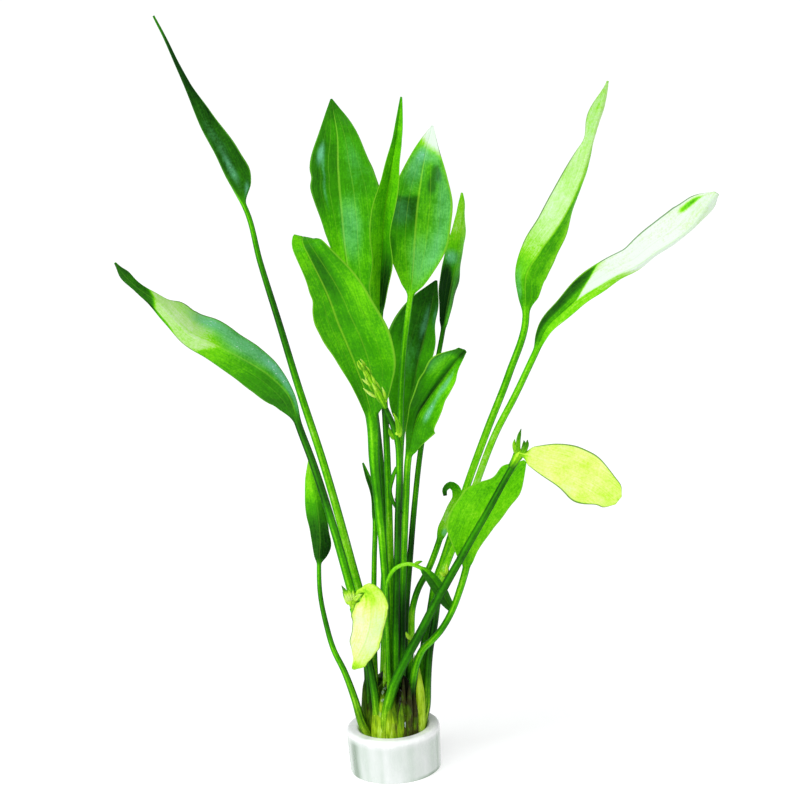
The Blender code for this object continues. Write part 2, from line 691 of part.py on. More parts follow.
def plantlet_leaf_left():
    """Pale leaf that hangs from the left tuft with its face to the front."""
    return leaf(
        "plantlet_leaf_left",
        petiole=[(-8.2, -14.6, 66.9), (-7.6, -15.2, 68.2)],
        blade=[(-6.9, -16, 69.2), (-5.3, -17.6, 70.2), (-3.8, -19, 68.2), (-3.9, -20, 63),
               (-4.9, -20.2, 57.5), (-6.4, -19.6, 52), (-8.6, -18.8, 47.6), (-10.8, -18, 43.4)],
        left=[0.9, 4.2, 5.4, 4.8, 4.2, 4.2, 3.6, 0.6],
        right=[0.9, 4.0, 6.4, 6.4, 5.8, 4.6, 2.6, 0.5],
        turn=[0, 0, 6],
        fold=[-10, -16, -10],
        radii=[0.9, 0.85, 0.8],
        finish=pale_green(),
    )


def flower_stalk_centre():
    """Young flower stalk rising in front of the broad leaf."""
    return stalk(
        "flower_stalk_centre",
        [(1.6, -4.4, STALK_START), (1.7, -5.2, 25.5), (2.6, -6, 43), (4.0, -7, 61), (5.5, -9, 79),
         (6.7, -10.8, 93.5), (7.9, -13, 107.5), (8.0, -16, 118.5), (7.0, -17.6, 124),
         (4.9, -19.4, 130.5)],
        [1.2, 1.15, 1.1, 1.0, 1.0],
        stalk_green(),
    )


def bud_cluster_centre():
    """Closed flower buds and bracts at the top of the young flower stalk."""
    return stalk(
        "bud_cluster_centre",
        [(4.5, -19.9, 131.8), (3.2, -20.8, 135.2), (1.4, -22, 139.8), (-0.2, -23.4, 144),
         (-2.3, -25, 149)],
        [1.1, 1.6, 1.9, 1.3, 0.3],
        bract_green(),
    )


def build():
    """Builds every piece of the plant and its ring."""
    clear_scene()
    collection = bpy.data.collections.new(PARTS)
    bpy.context.scene.collection.children.link(collection)
    makers = [
        ceramic_ring,
        rootstock,
        leaf_01_tall_left,
        leaf_02_arching_left,
        leaf_03_small_left,
        leaf_04_broad_rear,
        leaf_05_broad_front,
        leaf_06_narrow_centre,
        leaf_07_pale_centre,
        leaf_08_narrow_right,
        leaf_09_dark_rear,
        leaf_10_folded_right,
        leaf_11_upright_right,
        leaf_12_far_right,
        leaf_13_bright_low_right,
        leaf_14_small_hooked,
        leaf_15_small_arching,
        leaf_16_young_spear,
        flower_stalk_right,
        bract_tuft_right,
        plantlet_leaf_right,
        flower_stalk_left,
        bract_tuft_left,
        plantlet_leaf_left,
        flower_stalk_centre,
        bud_cluster_centre,
    ]
    for make in makers:
        make()


build()
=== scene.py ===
# %% [markdown]
# Potted amazon sword plant.
# The real thing is a rosette of long-stalked, glossy leaves and three flower stalks, held at its
# foot in a short white ceramic ring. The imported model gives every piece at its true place, as a
# coarse solid. Here each piece is made again as a fine surface, with veins, ripples and wax.

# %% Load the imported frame
import math

import bpy
import numpy as np
from mathutils import Matrix, Vector


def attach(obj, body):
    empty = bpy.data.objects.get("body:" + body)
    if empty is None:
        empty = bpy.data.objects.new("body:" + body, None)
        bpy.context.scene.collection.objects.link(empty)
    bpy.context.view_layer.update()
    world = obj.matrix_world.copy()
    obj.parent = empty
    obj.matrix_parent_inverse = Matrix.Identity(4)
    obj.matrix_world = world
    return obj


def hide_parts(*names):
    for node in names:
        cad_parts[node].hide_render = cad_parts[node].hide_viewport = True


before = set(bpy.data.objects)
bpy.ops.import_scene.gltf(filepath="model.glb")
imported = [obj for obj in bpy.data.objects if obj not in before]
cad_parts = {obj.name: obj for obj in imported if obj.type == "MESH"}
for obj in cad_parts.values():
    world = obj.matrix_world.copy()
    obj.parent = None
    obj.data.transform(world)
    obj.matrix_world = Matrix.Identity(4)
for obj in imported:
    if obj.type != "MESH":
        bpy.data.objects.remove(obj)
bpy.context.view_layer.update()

MM = 0.001
BODY = "root"
print("nodes in the frame:", len(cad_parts))

# %% [markdown]
# The camera.
# The photo looks down on the plant by about 17 degrees, through a long lens, with the camera
# rolled a little: the ring's rim drops to the left and the whole rosette leans. A camera can be
# aimed by a constraint, but then it can't roll, so its three axes are worked out and set as one
# matrix.

# %% Camera
AIM = Vector((9.8, 0.0, 126.8)) * MM
CAMERA_DISTANCE = 1.0
LOOK_DOWN = math.radians(17)
ROLL = math.radians(4)
LENS = 140.4

level_right = Vector((1, 0, 0))
level_up = Vector((0, math.sin(LOOK_DOWN), math.cos(LOOK_DOWN)))
back = Vector((0, -math.cos(LOOK_DOWN), math.sin(LOOK_DOWN)))
right = level_right * math.cos(ROLL) - level_up * math.sin(ROLL)
up = level_up * math.cos(ROLL) + level_right * math.sin(ROLL)
camera = bpy.data.objects.new("camera", bpy.data.cameras.new("camera"))
camera.data.lens = LENS
turned = Matrix((right, up, back)).transposed().to_4x4()
camera.matrix_world = Matrix.Translation(AIM + back * CAMERA_DISTANCE) @ turned
bpy.context.scene.collection.objects.link(camera)
bpy.context.scene.camera = camera
print("camera at", [round(x, 3) for x in camera.location])

# %% [markdown]
# Floor and light.
# The photo's ground is plain white. A wide pale floor runs past the edge of the view, so it
# needs no backdrop. The light is a soft sun, which is as bright far away as near, a pale sky, and
# two large panels whose reflections give the wax its broad highlights.

# %% Floor and light
FLOOR_SIDE = 40.0
FLOOR_DROP = 0.02 * MM
MIDDLE = (0, 0, 0.12)

corner = FLOOR_SIDE / 2
floor_mesh = bpy.data.meshes.new("floor")
floor_corners = [(x * corner, y * corner, -FLOOR_DROP) for x, y in ((-1, -1), (1, -1), (1, 1), (-1, 1))]
floor_mesh.from_pydata(floor_corners, [], [(0, 1, 2, 3)])
floor = bpy.data.objects.new("floor", floor_mesh)
bpy.context.scene.collection.objects.link(floor)
floor_paint = bpy.data.materials.new("floor")
floor_paint.use_nodes = True
floor_shader = floor_paint.node_tree.nodes["Principled BSDF"]
floor_shader.inputs["Base Color"].default_value = (0.55, 0.55, 0.55, 1)
floor_shader.inputs["Emission Color"].default_value = (1, 1, 1, 1)
floor_shader.inputs["Emission Strength"].default_value = 0.6
floor_shader.inputs["Roughness"].default_value = 0.9
floor_shader.inputs["Specular IOR Level"].default_value = 0.1
floor_mesh.materials.append(floor_paint)


def light(name, kind, energy, place, size, colour=(1, 1, 1)):
    """A light at place that shines on the plant's middle. Size is a panel's side or a sun's angle."""
    made = bpy.data.objects.new(name, bpy.data.lights.new(name, kind))
    made.data.energy = energy
    made.data.color = colour
    if kind == "AREA":
        made.data.shape = "SQUARE"
        made.data.size = size
    else:
        made.data.angle = size
    made.location = Vector(place)
    made.rotation_euler = (Vector(MIDDLE) - Vector(place)).to_track_quat("-Z", "Y").to_euler()
    bpy.context.scene.collection.objects.link(made)


light("sun", "SUN", 2.1, (-0.45, -0.8, 1.15), size=math.radians(60))
light("left_panel", "AREA", 3.0, (-0.75, -0.45, 0.75), size=0.5, colour=(0.93, 0.98, 1))
light("right_panel", "AREA", 1.2, (0.9, -0.3, 0.6), size=0.4)

world = bpy.data.worlds.new("studio")
world.use_nodes = True
world.node_tree.nodes["Background"].inputs["Color"].default_value = (0.95, 0.98, 1, 1)
world.node_tree.nodes["Background"].inputs["Strength"].default_value = 0.32
bpy.context.scene.world = world
bpy.context.scene.view_settings.view_transform = "Standard"

# %% [markdown]
# Smooth curves from a few points.
# A stalk or a midrib is a handful of points and one smooth curve through them. Blender's own
# curve objects could carry a tube, but a leaf's section changes from round to flat along the
# way, so the curve is worked out here and the section is free to change at every station.
# From here on, lengths are in millimetres until a mesh is made.

# %% Curves
SHOW_SIDE = np.array([0.0, -math.cos(LOOK_DOWN), math.sin(LOOK_DOWN)])
WAY_REACH = 0.6


def along(points):
    """Distance run at each point of a polyline, from 0: the running sum of its steps' lengths."""
    steps = np.linalg.norm(np.diff(points, axis=0), axis=1)
    return np.concatenate([[0.0], np.cumsum(steps)])


def smooth(places, values, wanted):
    """A curve through values at places: each span is a cubic whose end slopes are the two meeting
    slopes' mean, weighted towards the shorter span."""
    places = np.asarray(places, float)
    values = np.asarray(values, float)
    span = np.diff(places)
    slope = (np.diff(values, axis=0).T / span).T
    tangent = np.empty_like(values)
    tangent[0] = slope[0]
    tangent[-1] = slope[-1]
    share = span[1:] / (span[:-1] + span[1:])
    tangent[1:-1] = (slope[:-1].T * share + slope[1:].T * (1.0 - share)).T
    index = np.clip(np.searchsorted(places, wanted, side="right") - 1, 0, len(span) - 1)
    t = (wanted - places[index]) / span[index]
    h = span[index]
    start = (values[index].T * (2 * t**3 - 3 * t**2 + 1)).T
    leave = (tangent[index].T * ((t**3 - 2 * t**2 + t) * h)).T
    end = (values[index + 1].T * (3 * t**2 - 2 * t**3)).T
    arrive = (tangent[index + 1].T * ((t**3 - t**2) * h)).T
    return start + leave + end + arrive


def spread(values, v):
    """Values given at even steps from 0 to 1, read smoothly at v."""
    return smooth(np.linspace(0.0, 1.0, len(values)), values, v)


def frames(route, stations):
    """Centre, side and face direction at each station. Way is the step from a little behind to a
    little ahead, side is way x show side, and face is side x way."""
    run = along(route)
    centre = smooth(run, route, stations)
    ahead = smooth(run, route, np.minimum(stations + WAY_REACH, run[-1]))
    behind = smooth(run, route, np.maximum(stations - WAY_REACH, 0.0))
    way = ahead - behind
    way /= np.linalg.norm(way, axis=1)[:, None]
    side = np.cross(way, SHOW_SIDE)
    side /= np.linalg.norm(side, axis=1)[:, None]
    return centre, side, np.cross(side, way)


def placed(rings, centre, side, face):
    """Rings of (side, face) steps as points: centre, plus each step times its direction."""
    return centre[:, None] + rings[..., :1] * side[:, None] + rings[..., 1:] * face[:, None]


def ease(x):
    """0 to 1 with a soft start and a soft end: three x squared less two x cubed."""
    x = np.clip(x, 0.0, 1.0)
    return x * x * (3.0 - 2.0 * x)


def bell(x):
    """A smooth hump: one at 0, falling off on both sides as e to the minus x squared."""
    return np.exp(-x * x)


print("a quarter of the way from 0 to 1, eased:", ease(0.25))

# %% [markdown]
# Skins from rings.
# Every leaf, stalk and bract is a closed skin: equal rings of points, one per station, joined by
# four-sided faces and closed by a fan at each end. Numbers that the finishes need, such as how
# far a point is from the midrib, are stored on the points as attributes.

# %% Skins


def skin(rings, **marks):
    """Points, faces and marks of a closed skin through rings shaped (stations, points, 3). A mark
    is one number, or one for each point or station, or a vector for each point."""
    count, size = rings.shape[:2]
    points = rings.reshape(-1, 3)
    low = np.arange(count - 1)[:, None] * size
    here = np.arange(size)
    after = (here + 1) % size
    quads = np.stack([low + here, low + size + here, low + size + after, low + after], axis=-1)
    quads = quads.reshape(-1, 4)
    first, last = len(points), len(points) + 1
    top = (count - 1) * size
    fans = [np.stack([here, after, np.full(size, first)], axis=-1),
            np.stack([top + after, top + here, np.full(size, last)], axis=-1)]
    ends = np.stack([rings[0].mean(axis=0), rings[-1].mean(axis=0)])
    points = np.concatenate([points, ends])
    kept = {}
    for name, values in marks.items():
        values = np.asarray(values, float)
        if values.ndim < 3:
            values = np.broadcast_to(values, (count, size))[..., None]
        at_ends = np.stack([values[0].mean(axis=0), values[-1].mean(axis=0)])
        kept[name] = np.concatenate([values.reshape(count * size, -1), at_ends])
    corner_a, corner_b, corner_c = (points[f] for f in quads[:, :3].T)
    faces = [quads, *fans]
    # The sum of a x (b x c) over the faces is negative when they point inwards.
    if (corner_a * np.cross(corner_b, corner_c)).sum() < 0:
        faces = [group[:, ::-1] for group in faces]
    return points, faces, kept


def piece(name, finish, skins, replaces=()):
    """One object from one or more skins, in millimetres, which rides on the plant's only body."""
    points, faces, start = [], [], 0
    for skin_points, skin_faces, _ in skins:
        points.append(skin_points)
        for group in skin_faces:
            faces += (group + start).tolist()
        start += len(skin_points)
    mesh = bpy.data.meshes.new(name)
    mesh.from_pydata((np.concatenate(points) * MM).tolist(), [], faces)
    for key in skins[0][2]:
        values = np.concatenate([kept[key] for _, _, kept in skins]).astype(np.float32)
        wide = values.shape[1] == 3
        stored = mesh.attributes.new(key, "FLOAT_VECTOR" if wide else "FLOAT", "POINT")
        stored.data.foreach_set("vector" if wide else "value", values.ravel())
    mesh.shade_smooth()
    mesh.materials.append(finish)
    made = bpy.data.objects.new(name, mesh)
    bpy.context.scene.collection.objects.link(made)
    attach(made, BODY)
    if replaces:
        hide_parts(*replaces)
    print(f"{name}: {len(faces)} faces")


box_rings = np.array([[(0, 0, h), (1, 0, h), (1, 1, h), (0, 1, h)] for h in (0, 1)])
print("a box made as a skin has", sum(len(group) for group in skin(box_rings)[1]), "faces")

# %% [markdown]
# Nodes for the finishes.
# All the finishes are procedural: noise in the object's own space for mottling, and the marks on
# the points for what follows the leaf. These small helpers keep each finish short.

# %% Node helpers


def feed(tree, socket, value):
    """Sets a socket, or links it if the value is another socket."""
    if isinstance(value, bpy.types.NodeSocket):
        tree.links.new(value, socket)
    else:
        socket.default_value = value


def node(tree, kind, settings=None, **sockets):
    """A node with its settings, and its sockets fed by name, an underscore standing for a space."""
    made = tree.nodes.new(kind)
    for key, value in (settings or {}).items():
        setattr(made, key, value)
    for key, value in sockets.items():
        feed(tree, made.inputs[key.replace("_", " ")], value)
    return made


def arithmetic(tree, operation, *values):
    """One step of arithmetic on sockets or numbers."""
    made = node(tree, "ShaderNodeMath", {"operation": operation})
    for socket, value in zip(made.inputs, values):
        feed(tree, socket, value)
    return made.outputs[0]


def times(tree, first, second):
    """The product of two sockets or numbers."""
    return arithmetic(tree, "MULTIPLY", first, second)


def plus(tree, base, value, share):
    """Base plus a share of a value."""
    return arithmetic(tree, "MULTIPLY_ADD", value, share, base)


def centred(tree, value):
    """A number from 0 to 1 moved down by a half, so that it adds as much as it takes away."""
    return arithmetic(tree, "SUBTRACT", value, 0.5)


def mark(tree, name, output="Fac"):
    """A mark stored on the points."""
    return node(tree, "ShaderNodeAttribute", {"attribute_name": name}).outputs[output]


def ramp(tree, value, stops):
    """A colour ramp: stops are (place, colour), and a grey may be one number."""
    made = node(tree, "ShaderNodeValToRGB", None, Fac=value)
    line = made.color_ramp.elements
    while len(line) < len(stops):
        line.new(0.5)
    for stop, (place, colour) in zip(line, stops):
        stop.position = place
        stop.color = (*colour, 1) if isinstance(colour, tuple) else (colour, colour, colour, 1)
    return made.outputs["Color"]


def blend(tree, share, first, second):
    """Two colours mixed by a share. Inputs 6 and 7 and output 2 are the Mix node's colour ones."""
    made = node(tree, "ShaderNodeMix", {"data_type": "RGBA"}, Factor=share)
    feed(tree, made.inputs[6], first)
    feed(tree, made.inputs[7], second)
    return made.outputs[2]


def noise(tree, place, scale, detail, rough):
    """Noise from 0 to 1 at a place, its grain about one over the scale."""
    made = node(tree, "ShaderNodeTexNoise", None, Vector=place, Scale=scale, Detail=detail, Roughness=rough)
    return made.outputs["Fac"]


def stretched(tree, place, scale):
    """A place scaled differently along its three directions."""
    return node(tree, "ShaderNodeMapping", None, Vector=place, Scale=scale).outputs["Vector"]


def new_finish(name):
    """An empty material and its tree, its shader and the place on the object."""
    made = bpy.data.materials.new(name)
    made.use_nodes = True
    tree = made.node_tree
    return made, tree, tree.nodes["Principled BSDF"], node(tree, "ShaderNodeTexCoord").outputs["Object"]


def link_surface(tree, shader, colour, gloss, height, strength, depth):
    """Links a finish's colour, roughness and relief. Depth is the relief's, in metres."""
    bump = node(tree, "ShaderNodeBump", None, Strength=strength, Distance=depth, Height=height)
    tree.links.new(colour, shader.inputs["Base Color"])
    tree.links.new(gloss, shader.inputs["Roughness"])
    tree.links.new(bump.outputs["Normal"], shader.inputs["Normal"])


# %% [markdown]
# The leaf finish.
# A sword leaf is waxy, with a pale midrib and two or three long veins on each side that run from
# its foot to its tip. Its green goes from near black in the folds to almost white where light
# comes through. So the colour is read from one line of greens, and the painted tones, which hold
# each blade's painted light and shade, mottling and fine fibres only move the point that is read;
# veins, the margin and the painted sheen, a painted blue-green reflection of the sky on the wax
# with painted glints, are mixed over it.

# %% Leaf finish
DARKEST, PALEST = -1.0, 1.4


def on_line(tone):
    """A tone from -1, darkest, to 1.4, palest, as a place from 0 to 1 on the line of greens."""
    return (tone - DARKEST) / (PALEST - DARKEST)


def colour_line(*stops):
    """Stops of a line of colours, given at tones."""
    return [(on_line(tone), colour) for tone, colour in stops]


GREENS = colour_line((-1.0, (0.004, 0.033, 0.003)), (-0.6, (0.014, 0.105, 0.004)),
                     (-0.2, (0.028, 0.21, 0.003)), (0.15, (0.048, 0.34, 0.002)),
                     (0.5, (0.14, 0.60, 0.003)), (0.68, (0.25, 0.69, 0.012)),
                     (0.85, (0.38, 0.75, 0.14)), (1.1, (0.53, 0.79, 0.33)),
                     (1.4, (0.71, 0.84, 0.70)))
YELLOW_GREENS = colour_line((-1.0, (0.02, 0.06, 0.004)), (-0.2, (0.06, 0.30, 0.004)),
                            (0.3, (0.20, 0.58, 0.005)), (0.7, (0.50, 0.85, 0.04)),
                            (1.0, (0.70, 0.93, 0.20)), (1.4, (0.78, 0.95, 0.50)))
OLIVES = colour_line((-1.0, (0.006, 0.012, 0.002)), (-0.3, (0.035, 0.080, 0.003)),
                     (0.3, (0.14, 0.25, 0.004)), (0.9, (0.42, 0.55, 0.03)))
# The painted sheen's colour, a painted reflection of the sky on the wax, and the painted glints' colour.
SHEEN_COLOUR = (0.17, 0.56, 0.31, 1)
GLINT = (0.66, 0.84, 0.80, 1)
GREEN_VEIN = (0.26, 0.62, 0.04, 1)
LIME_VEIN = (0.33, 0.68, 0.03, 1)
GREEN_MARGIN = (0.10, 0.36, 0.02, 1)
LIME_MARGIN = (0.19, 0.52, 0.02, 1)
DARK_MARGIN = (0.07, 0.20, 0.03, 1)
# How strongly the veins and the margin show, by the share of the way out from the midrib.
VEINS = [(0.0, 1.0), (0.020, 0.9), (0.045, 0.0), (0.325, 0.0), (0.345, 0.6), (0.365, 0.0),
         (0.625, 0.0), (0.643, 0.3), (0.661, 0.0), (0.845, 0.0), (0.858, 0.12), (0.871, 0.0)]
MARGIN_LINE = [(0.0, 0.0), (0.93, 0.0), (0.965, 0.85), (1.0, 0.85)]
# From what tone a margin is dark, from what painted sheen the painted glints begin, and from what noise a
# glint speck shines.
PALE_BLADE = [(0.68, 0.0), (0.80, 1.0)]
GLINTING_SHEEN = [(0.30, 0.0), (0.80, 1.0)]
BRIGHT_SPECK = [(0.60, 0.0), (0.70, 1.0)]
# The fibres' noise is fine across the leaf and long along it.
FIBRE_STRETCH = (2.6, 0.12, 1)
# How far each noise moves the tone, and the fibres once more at a leaf's foot.
CLOUD_TONE = 0.32
GRAIN_TONE = 0.32
FIBRE_TONE = 0.30
FOOT_FIBRE_TONE = 1.2


def leaf_finish(name, greens, vein, vein_share, margin, wax, rough):
    """Waxy leaf: greens is its line of colours, vein and margin are colours, wax is its coat."""
    made, tree, shader, place = new_finish(name)
    cloud = centred(tree, noise(tree, place, 150, 5, 0.6))
    grain = centred(tree, noise(tree, place, 1400, 3, 0.7))
    run = stretched(tree, mark(tree, "flat", "Vector"), FIBRE_STRETCH)
    fibres = centred(tree, noise(tree, run, 1.0, 4, 0.65))
    foot = mark(tree, "foot")
    tone = plus(tree, mark(tree, "tone"), cloud, CLOUD_TONE)
    tone = plus(tree, tone, grain, GRAIN_TONE)
    tone = plus(tree, tone, fibres, FIBRE_TONE)
    tone = plus(tree, tone, fibres, times(tree, foot, FOOT_FIBRE_TONE))
    colour = blend(tree, foot, ramp(tree, tone, greens), ramp(tree, tone, OLIVES))
    from_midrib = arithmetic(tree, "ABSOLUTE", mark(tree, "across"))
    veins = times(tree, ramp(tree, from_midrib, VEINS), mark(tree, "veined"))
    colour = blend(tree, times(tree, veins, vein_share), colour, vein)
    # The painted sheen: a painted blue-green reflection of the sky on the wax, with painted glint specks
    # where it is strongest; it also lowers the roughness.
    bloom = mark(tree, "bloom")
    cast = plus(tree, plus(tree, bloom, cloud, 1.3), grain, 1.0)
    cast = times(tree, cast, bloom)
    colour = blend(tree, cast, colour, SHEEN_COLOUR)
    specks = ramp(tree, noise(tree, place, 1300, 3, 0.6), BRIGHT_SPECK)
    colour = blend(tree, times(tree, specks, ramp(tree, cast, GLINTING_SHEEN)), colour, GLINT)
    edge = times(tree, ramp(tree, from_midrib, MARGIN_LINE), mark(tree, "blade"))
    colour = blend(tree, edge, colour, blend(tree, ramp(tree, tone, PALE_BLADE), margin, DARK_MARGIN))
    gloss = plus(tree, rough, cloud, 0.30)
    gloss = plus(tree, gloss, mark(tree, "under"), 0.18)
    gloss = plus(tree, gloss, bloom, -0.10)
    height = plus(tree, times(tree, veins, -0.8), fibres, 0.6)
    height = plus(tree, height, grain, 0.7)
    link_surface(tree, shader, colour, gloss, height, 0.6, 0.2 * MM)
    shader.inputs["Coat Weight"].default_value = wax
    shader.inputs["Coat Roughness"].default_value = 0.12
    shader.inputs["Specular IOR Level"].default_value = 0.025
    return made


flower_stalk = leaf_finish("flower_stalk_skin", GREENS, GREEN_VEIN, 0.0, GREEN_MARGIN, 0.0, 0.38)
bract = leaf_finish("bract_skin", YELLOW_GREENS, GREEN_VEIN, 0.4, DARK_MARGIN, 0.02, 0.55)
FINISHES = {
    "deep_green_leaf": leaf_finish("deep_green_wax", GREENS, GREEN_VEIN, 0.75, GREEN_MARGIN, 0.04, 0.32),
    "fresh_green_leaf": leaf_finish("fresh_green_wax", GREENS, LIME_VEIN, 0.65, LIME_MARGIN, 0.03, 0.34),
    "pale_leaf": leaf_finish("pale_wax", YELLOW_GREENS, GREEN_VEIN, 0.22, DARK_MARGIN, 0.02, 0.5),
}
print("leaf finishes:", sorted(FINISHES))

# %% [markdown]
# The form of a leaf.
# A leaf is one thing from its foot to its tip, so it is one skin. Each station has a ring of
# points. On the stalk the ring is round with fine ribs; past the stalk's end it opens into the
# two halves of the blade. Each half is a flap of its own width, raised from flat by its fold,
# with a soft crease at the midrib, a rippled margin, grooves over the veins on the face and
# ridges under them on the back.

# %% Blade form
ACROSS = 43
BLADE_THICKNESS = 0.42
MARGIN_THICKNESS = 0.16
# The midrib: how far it reaches, how much it stands out on the face and the back, how much of
# that it loses by the tip, the groove along it, and the share over which the halves' lifts meet.
MIDRIB_REACH = 0.75
FACE_RISE = 0.12
BACK_RISE = 0.62
MIDRIB_TAPER = 0.75
GROOVE_DEPTH = 0.10
GROOVE_REACH = 0.22
MIDRIB_BLEND = 0.05
# The veins' places, as a share of the way out, and their reach and relief.
VEIN_PLACES = (0.355, 0.645, 0.86)
VEIN_REACH = 0.03
VEIN_RELIEF = 0.05
# The ripple is two waves, which start at a different phase in each half, grow towards the margin
# and fade at both ends of the blade, and are smaller where a half is narrow.
RIGHT_PHASE, LEFT_PHASE = 0.6, 2.4
SECOND_WAVE = 0.45
SECOND_WAVE_PITCH = 1.83
SECOND_WAVE_PHASE = 2.1
RIPPLE_GROWTH = 2.4
RIPPLE_FADE = 0.6
FULL_RIPPLE_WIDTH = 4.0
across = np.linspace(1.0, -1.0, ACROSS)
share_out = np.abs(across)
ring_across = np.concatenate([across, across[::-1]])
ring_under = np.concatenate([np.zeros(ACROSS), np.ones(ACROSS)])


def blade_sections(v, left, right, turn, fold, crease, ripple, waves):
    """Rings (side, face) of the blade at each v. A point's way out from the midrib is its share of
    the half width, at an angle that grows from crease times the rise to the whole rise."""
    on_right = across > 0
    width = np.where(on_right, right[:, None], left[:, None])
    rise = np.where(on_right, (turn + fold)[:, None], (fold - turn)[:, None])
    reach = width * share_out
    angle = rise * (crease + (1 - crease) * share_out)
    slope = angle + np.arctan(share_out * rise * (1 - crease))
    hand = np.where(on_right, 1.0, -1.0)
    place = np.stack([hand * reach * np.cos(angle), reach * np.sin(angle)], axis=-1)
    lift = np.stack([-hand * np.sin(slope), np.cos(slope)], axis=-1)
    middle = bell(across / MIDRIB_BLEND)[None, :, None]
    mean_lift = np.stack([-np.sin(turn), np.cos(turn)], axis=-1)[:, None, :]
    lift = lift * (1 - middle) + mean_lift * middle
    lift /= np.linalg.norm(lift, axis=-1)[..., None]
    phase = np.where(on_right, RIGHT_PHASE, LEFT_PHASE)
    wave_angle = 2 * math.pi * waves * v[:, None]
    rippled = np.sin(wave_angle + phase)
    rippled += SECOND_WAVE * np.sin(wave_angle * SECOND_WAVE_PITCH + SECOND_WAVE_PHASE * phase)
    rippled *= ripple * share_out**RIPPLE_GROWTH
    rippled *= np.sin(math.pi * np.clip(v, 0, 1))[:, None] ** RIPPLE_FADE
    rippled *= np.minimum(1.0, width / FULL_RIPPLE_WIDTH)
    place = place + lift * rippled[..., None]
    half = (MARGIN_THICKNESS + (BLADE_THICKNESS - MARGIN_THICKNESS) * (1 - share_out**3)) / 2
    keel = bell(reach / MIDRIB_REACH) * (1.0 - MIDRIB_TAPER * v[:, None])
    veined = sum(bell((share_out - at) / VEIN_REACH) for at in VEIN_PLACES) * VEIN_RELIEF
    face_side = half + FACE_RISE * keel - veined - GROOVE_DEPTH * bell(reach / GROOVE_REACH)
    back_side = half + BACK_RISE * keel + veined
    face_skin = place + lift * face_side[..., None]
    back_skin = place - lift * back_side[..., None]
    return np.concatenate([face_skin, back_skin[:, ::-1]], axis=1)


print("points round a blade:", len(ring_across))

# %% [markdown]
# The form of a stalk.
# A stalk is round with fine ribs. Its skin is painted with light and shade, because the ribs are
# too shallow for soft studio light to show: painted highlights on the ribs, painted shade down
# both its sides and one painted highlight streak in front.

# %% Stalk form
RIBS = 7
RIB_DEPTH = 0.035
# Painted light on the ribs, painted shade down the sides, and a painted highlight streak with its angle and
# reach.
RIB_LIGHT = 0.10
SIDE_SHADE = 0.55
HIGHLIGHT_STREAK = 0.25
HIGHLIGHT_ANGLE = 1.9
HIGHLIGHT_REACH = 0.4
PALEST_STALK = 0.62


def even_angles(count):
    """Angles round a ring, half a step off the side's direction."""
    return 2 * math.pi * (np.arange(count) + 0.5) / count


def round_sections(radius, angle, ribs, depth):
    """Rings (side, face) of a stalk: the radius, less depth of it, plus depth times a cosine."""
    ribbed = radius[:, None] * (1 - depth + depth * np.cos(ribs * angle))
    return np.stack([ribbed * np.cos(angle), ribbed * np.sin(angle)], axis=-1)


def stalk_tone(tones, s, angle):
    """Tones given along a stalk and read at s, with its painted light and shade round it, as far as the
    palest that it gets.
    """
    painted_light = RIB_LIGHT * np.cos(RIBS * angle) - SIDE_SHADE * np.cos(angle) ** 6
    painted_light = painted_light + HIGHLIGHT_STREAK * bell((angle - HIGHLIGHT_ANGLE) / HIGHLIGHT_REACH)
    return np.minimum(spread(tones, s)[:, None] + painted_light, PALEST_STALK)


ring_angle = even_angles(2 * ACROSS)
print("tones round a middling stalk:", stalk_tone([0, 0], np.zeros(1), ring_angle[::16]).round(2))

# %% [markdown]
# Painting a blade.
# Light falls on each blade in its own way, so each has its own tones, which paint its light and
# shade on its greens: painted shade in folds and under other leaves, painted shadows and painted
# glare. There are a few along each half, and then soft oval patches, and steps past a line where a
# fold or a gloss begins.

# %% Blade tones
MIDRIB_TONE_BLEND = 0.04


def patch(u, v, at_u, at_v, reach_u, reach_v, amount, sharp=1.5):
    """A soft oval patch: amount times e to the minus (distance squared) to the power sharp."""
    near = ((u - at_u) / reach_u) ** 2 + ((v - at_v) / reach_v) ** 2
    return amount * np.exp(-near**sharp)


def step(u, v, hand, at_v, slope, soft, amount):
    """A tone added past a line across the blade, v = at_v + slope times u, on one half or on both."""
    beyond = 0.5 + 0.5 * np.tanh((v - at_v - slope * u) / soft)
    return amount * beyond * (hand * u >= 0)


def painted(u, v, left_tones, right_tones, patches, steps):
    """Tone over the blade: each half's tones along it, read at v, plus patches and steps."""
    on_right = 0.5 + 0.5 * np.tanh(u / MIDRIB_TONE_BLEND)
    right_tone, left_tone = spread(right_tones, v)[:, None], spread(left_tones, v)[:, None]
    tone = right_tone * on_right + left_tone * (1 - on_right)
    tone = tone + sum(step(u, v[:, None], *one) for one in steps)
    return tone + sum(patch(u, v[:, None], *one) for one in patches)


example = painted(np.zeros(1), np.array([0.5]), [0, 0], [1, 1], [(0, 0.5, 1, 1, 0.2)], [])
print("tone at the midrib between halves of 0 and 1, with a patch of 0.2:", example[0, 0])

# %% [markdown]
# A whole leaf.
# The blade and its stalk are worked out apart, on the same stations, and one is blended into
# the other where the blade opens. The photo shows only the side of a leaf that is turned to it,
# so the other side takes one plain tone from its two halves, a little paler than the face.

# %% Whole leaf
STALK_STEP = 1.4
BLADE_STEP = 0.7
OPENING = 0.08
NARROWEST_HALF = 0.2
FULL_FOLD_WIDTH = 4.0
STALK_TAPER = 0.5
UNDERSIDE_PALER = 0.12
# Drawn stalks start at one height, and are led down from it into the crown, where they widen
# into sheaths and turn olive.
START = 9.5
CROWN_Z = 7.6
SHEATH_WIDENING = 0.5
SHEATH_REACH = 17.0
FOOT_REACH = 19.0
# The fibres' noise is read at a place on the opened-out leaf, in millimetres, moved for its back.
STALK_FIBRE_WIDTH = 1.2
BACK_FIBRE_SHIFT = 3.0
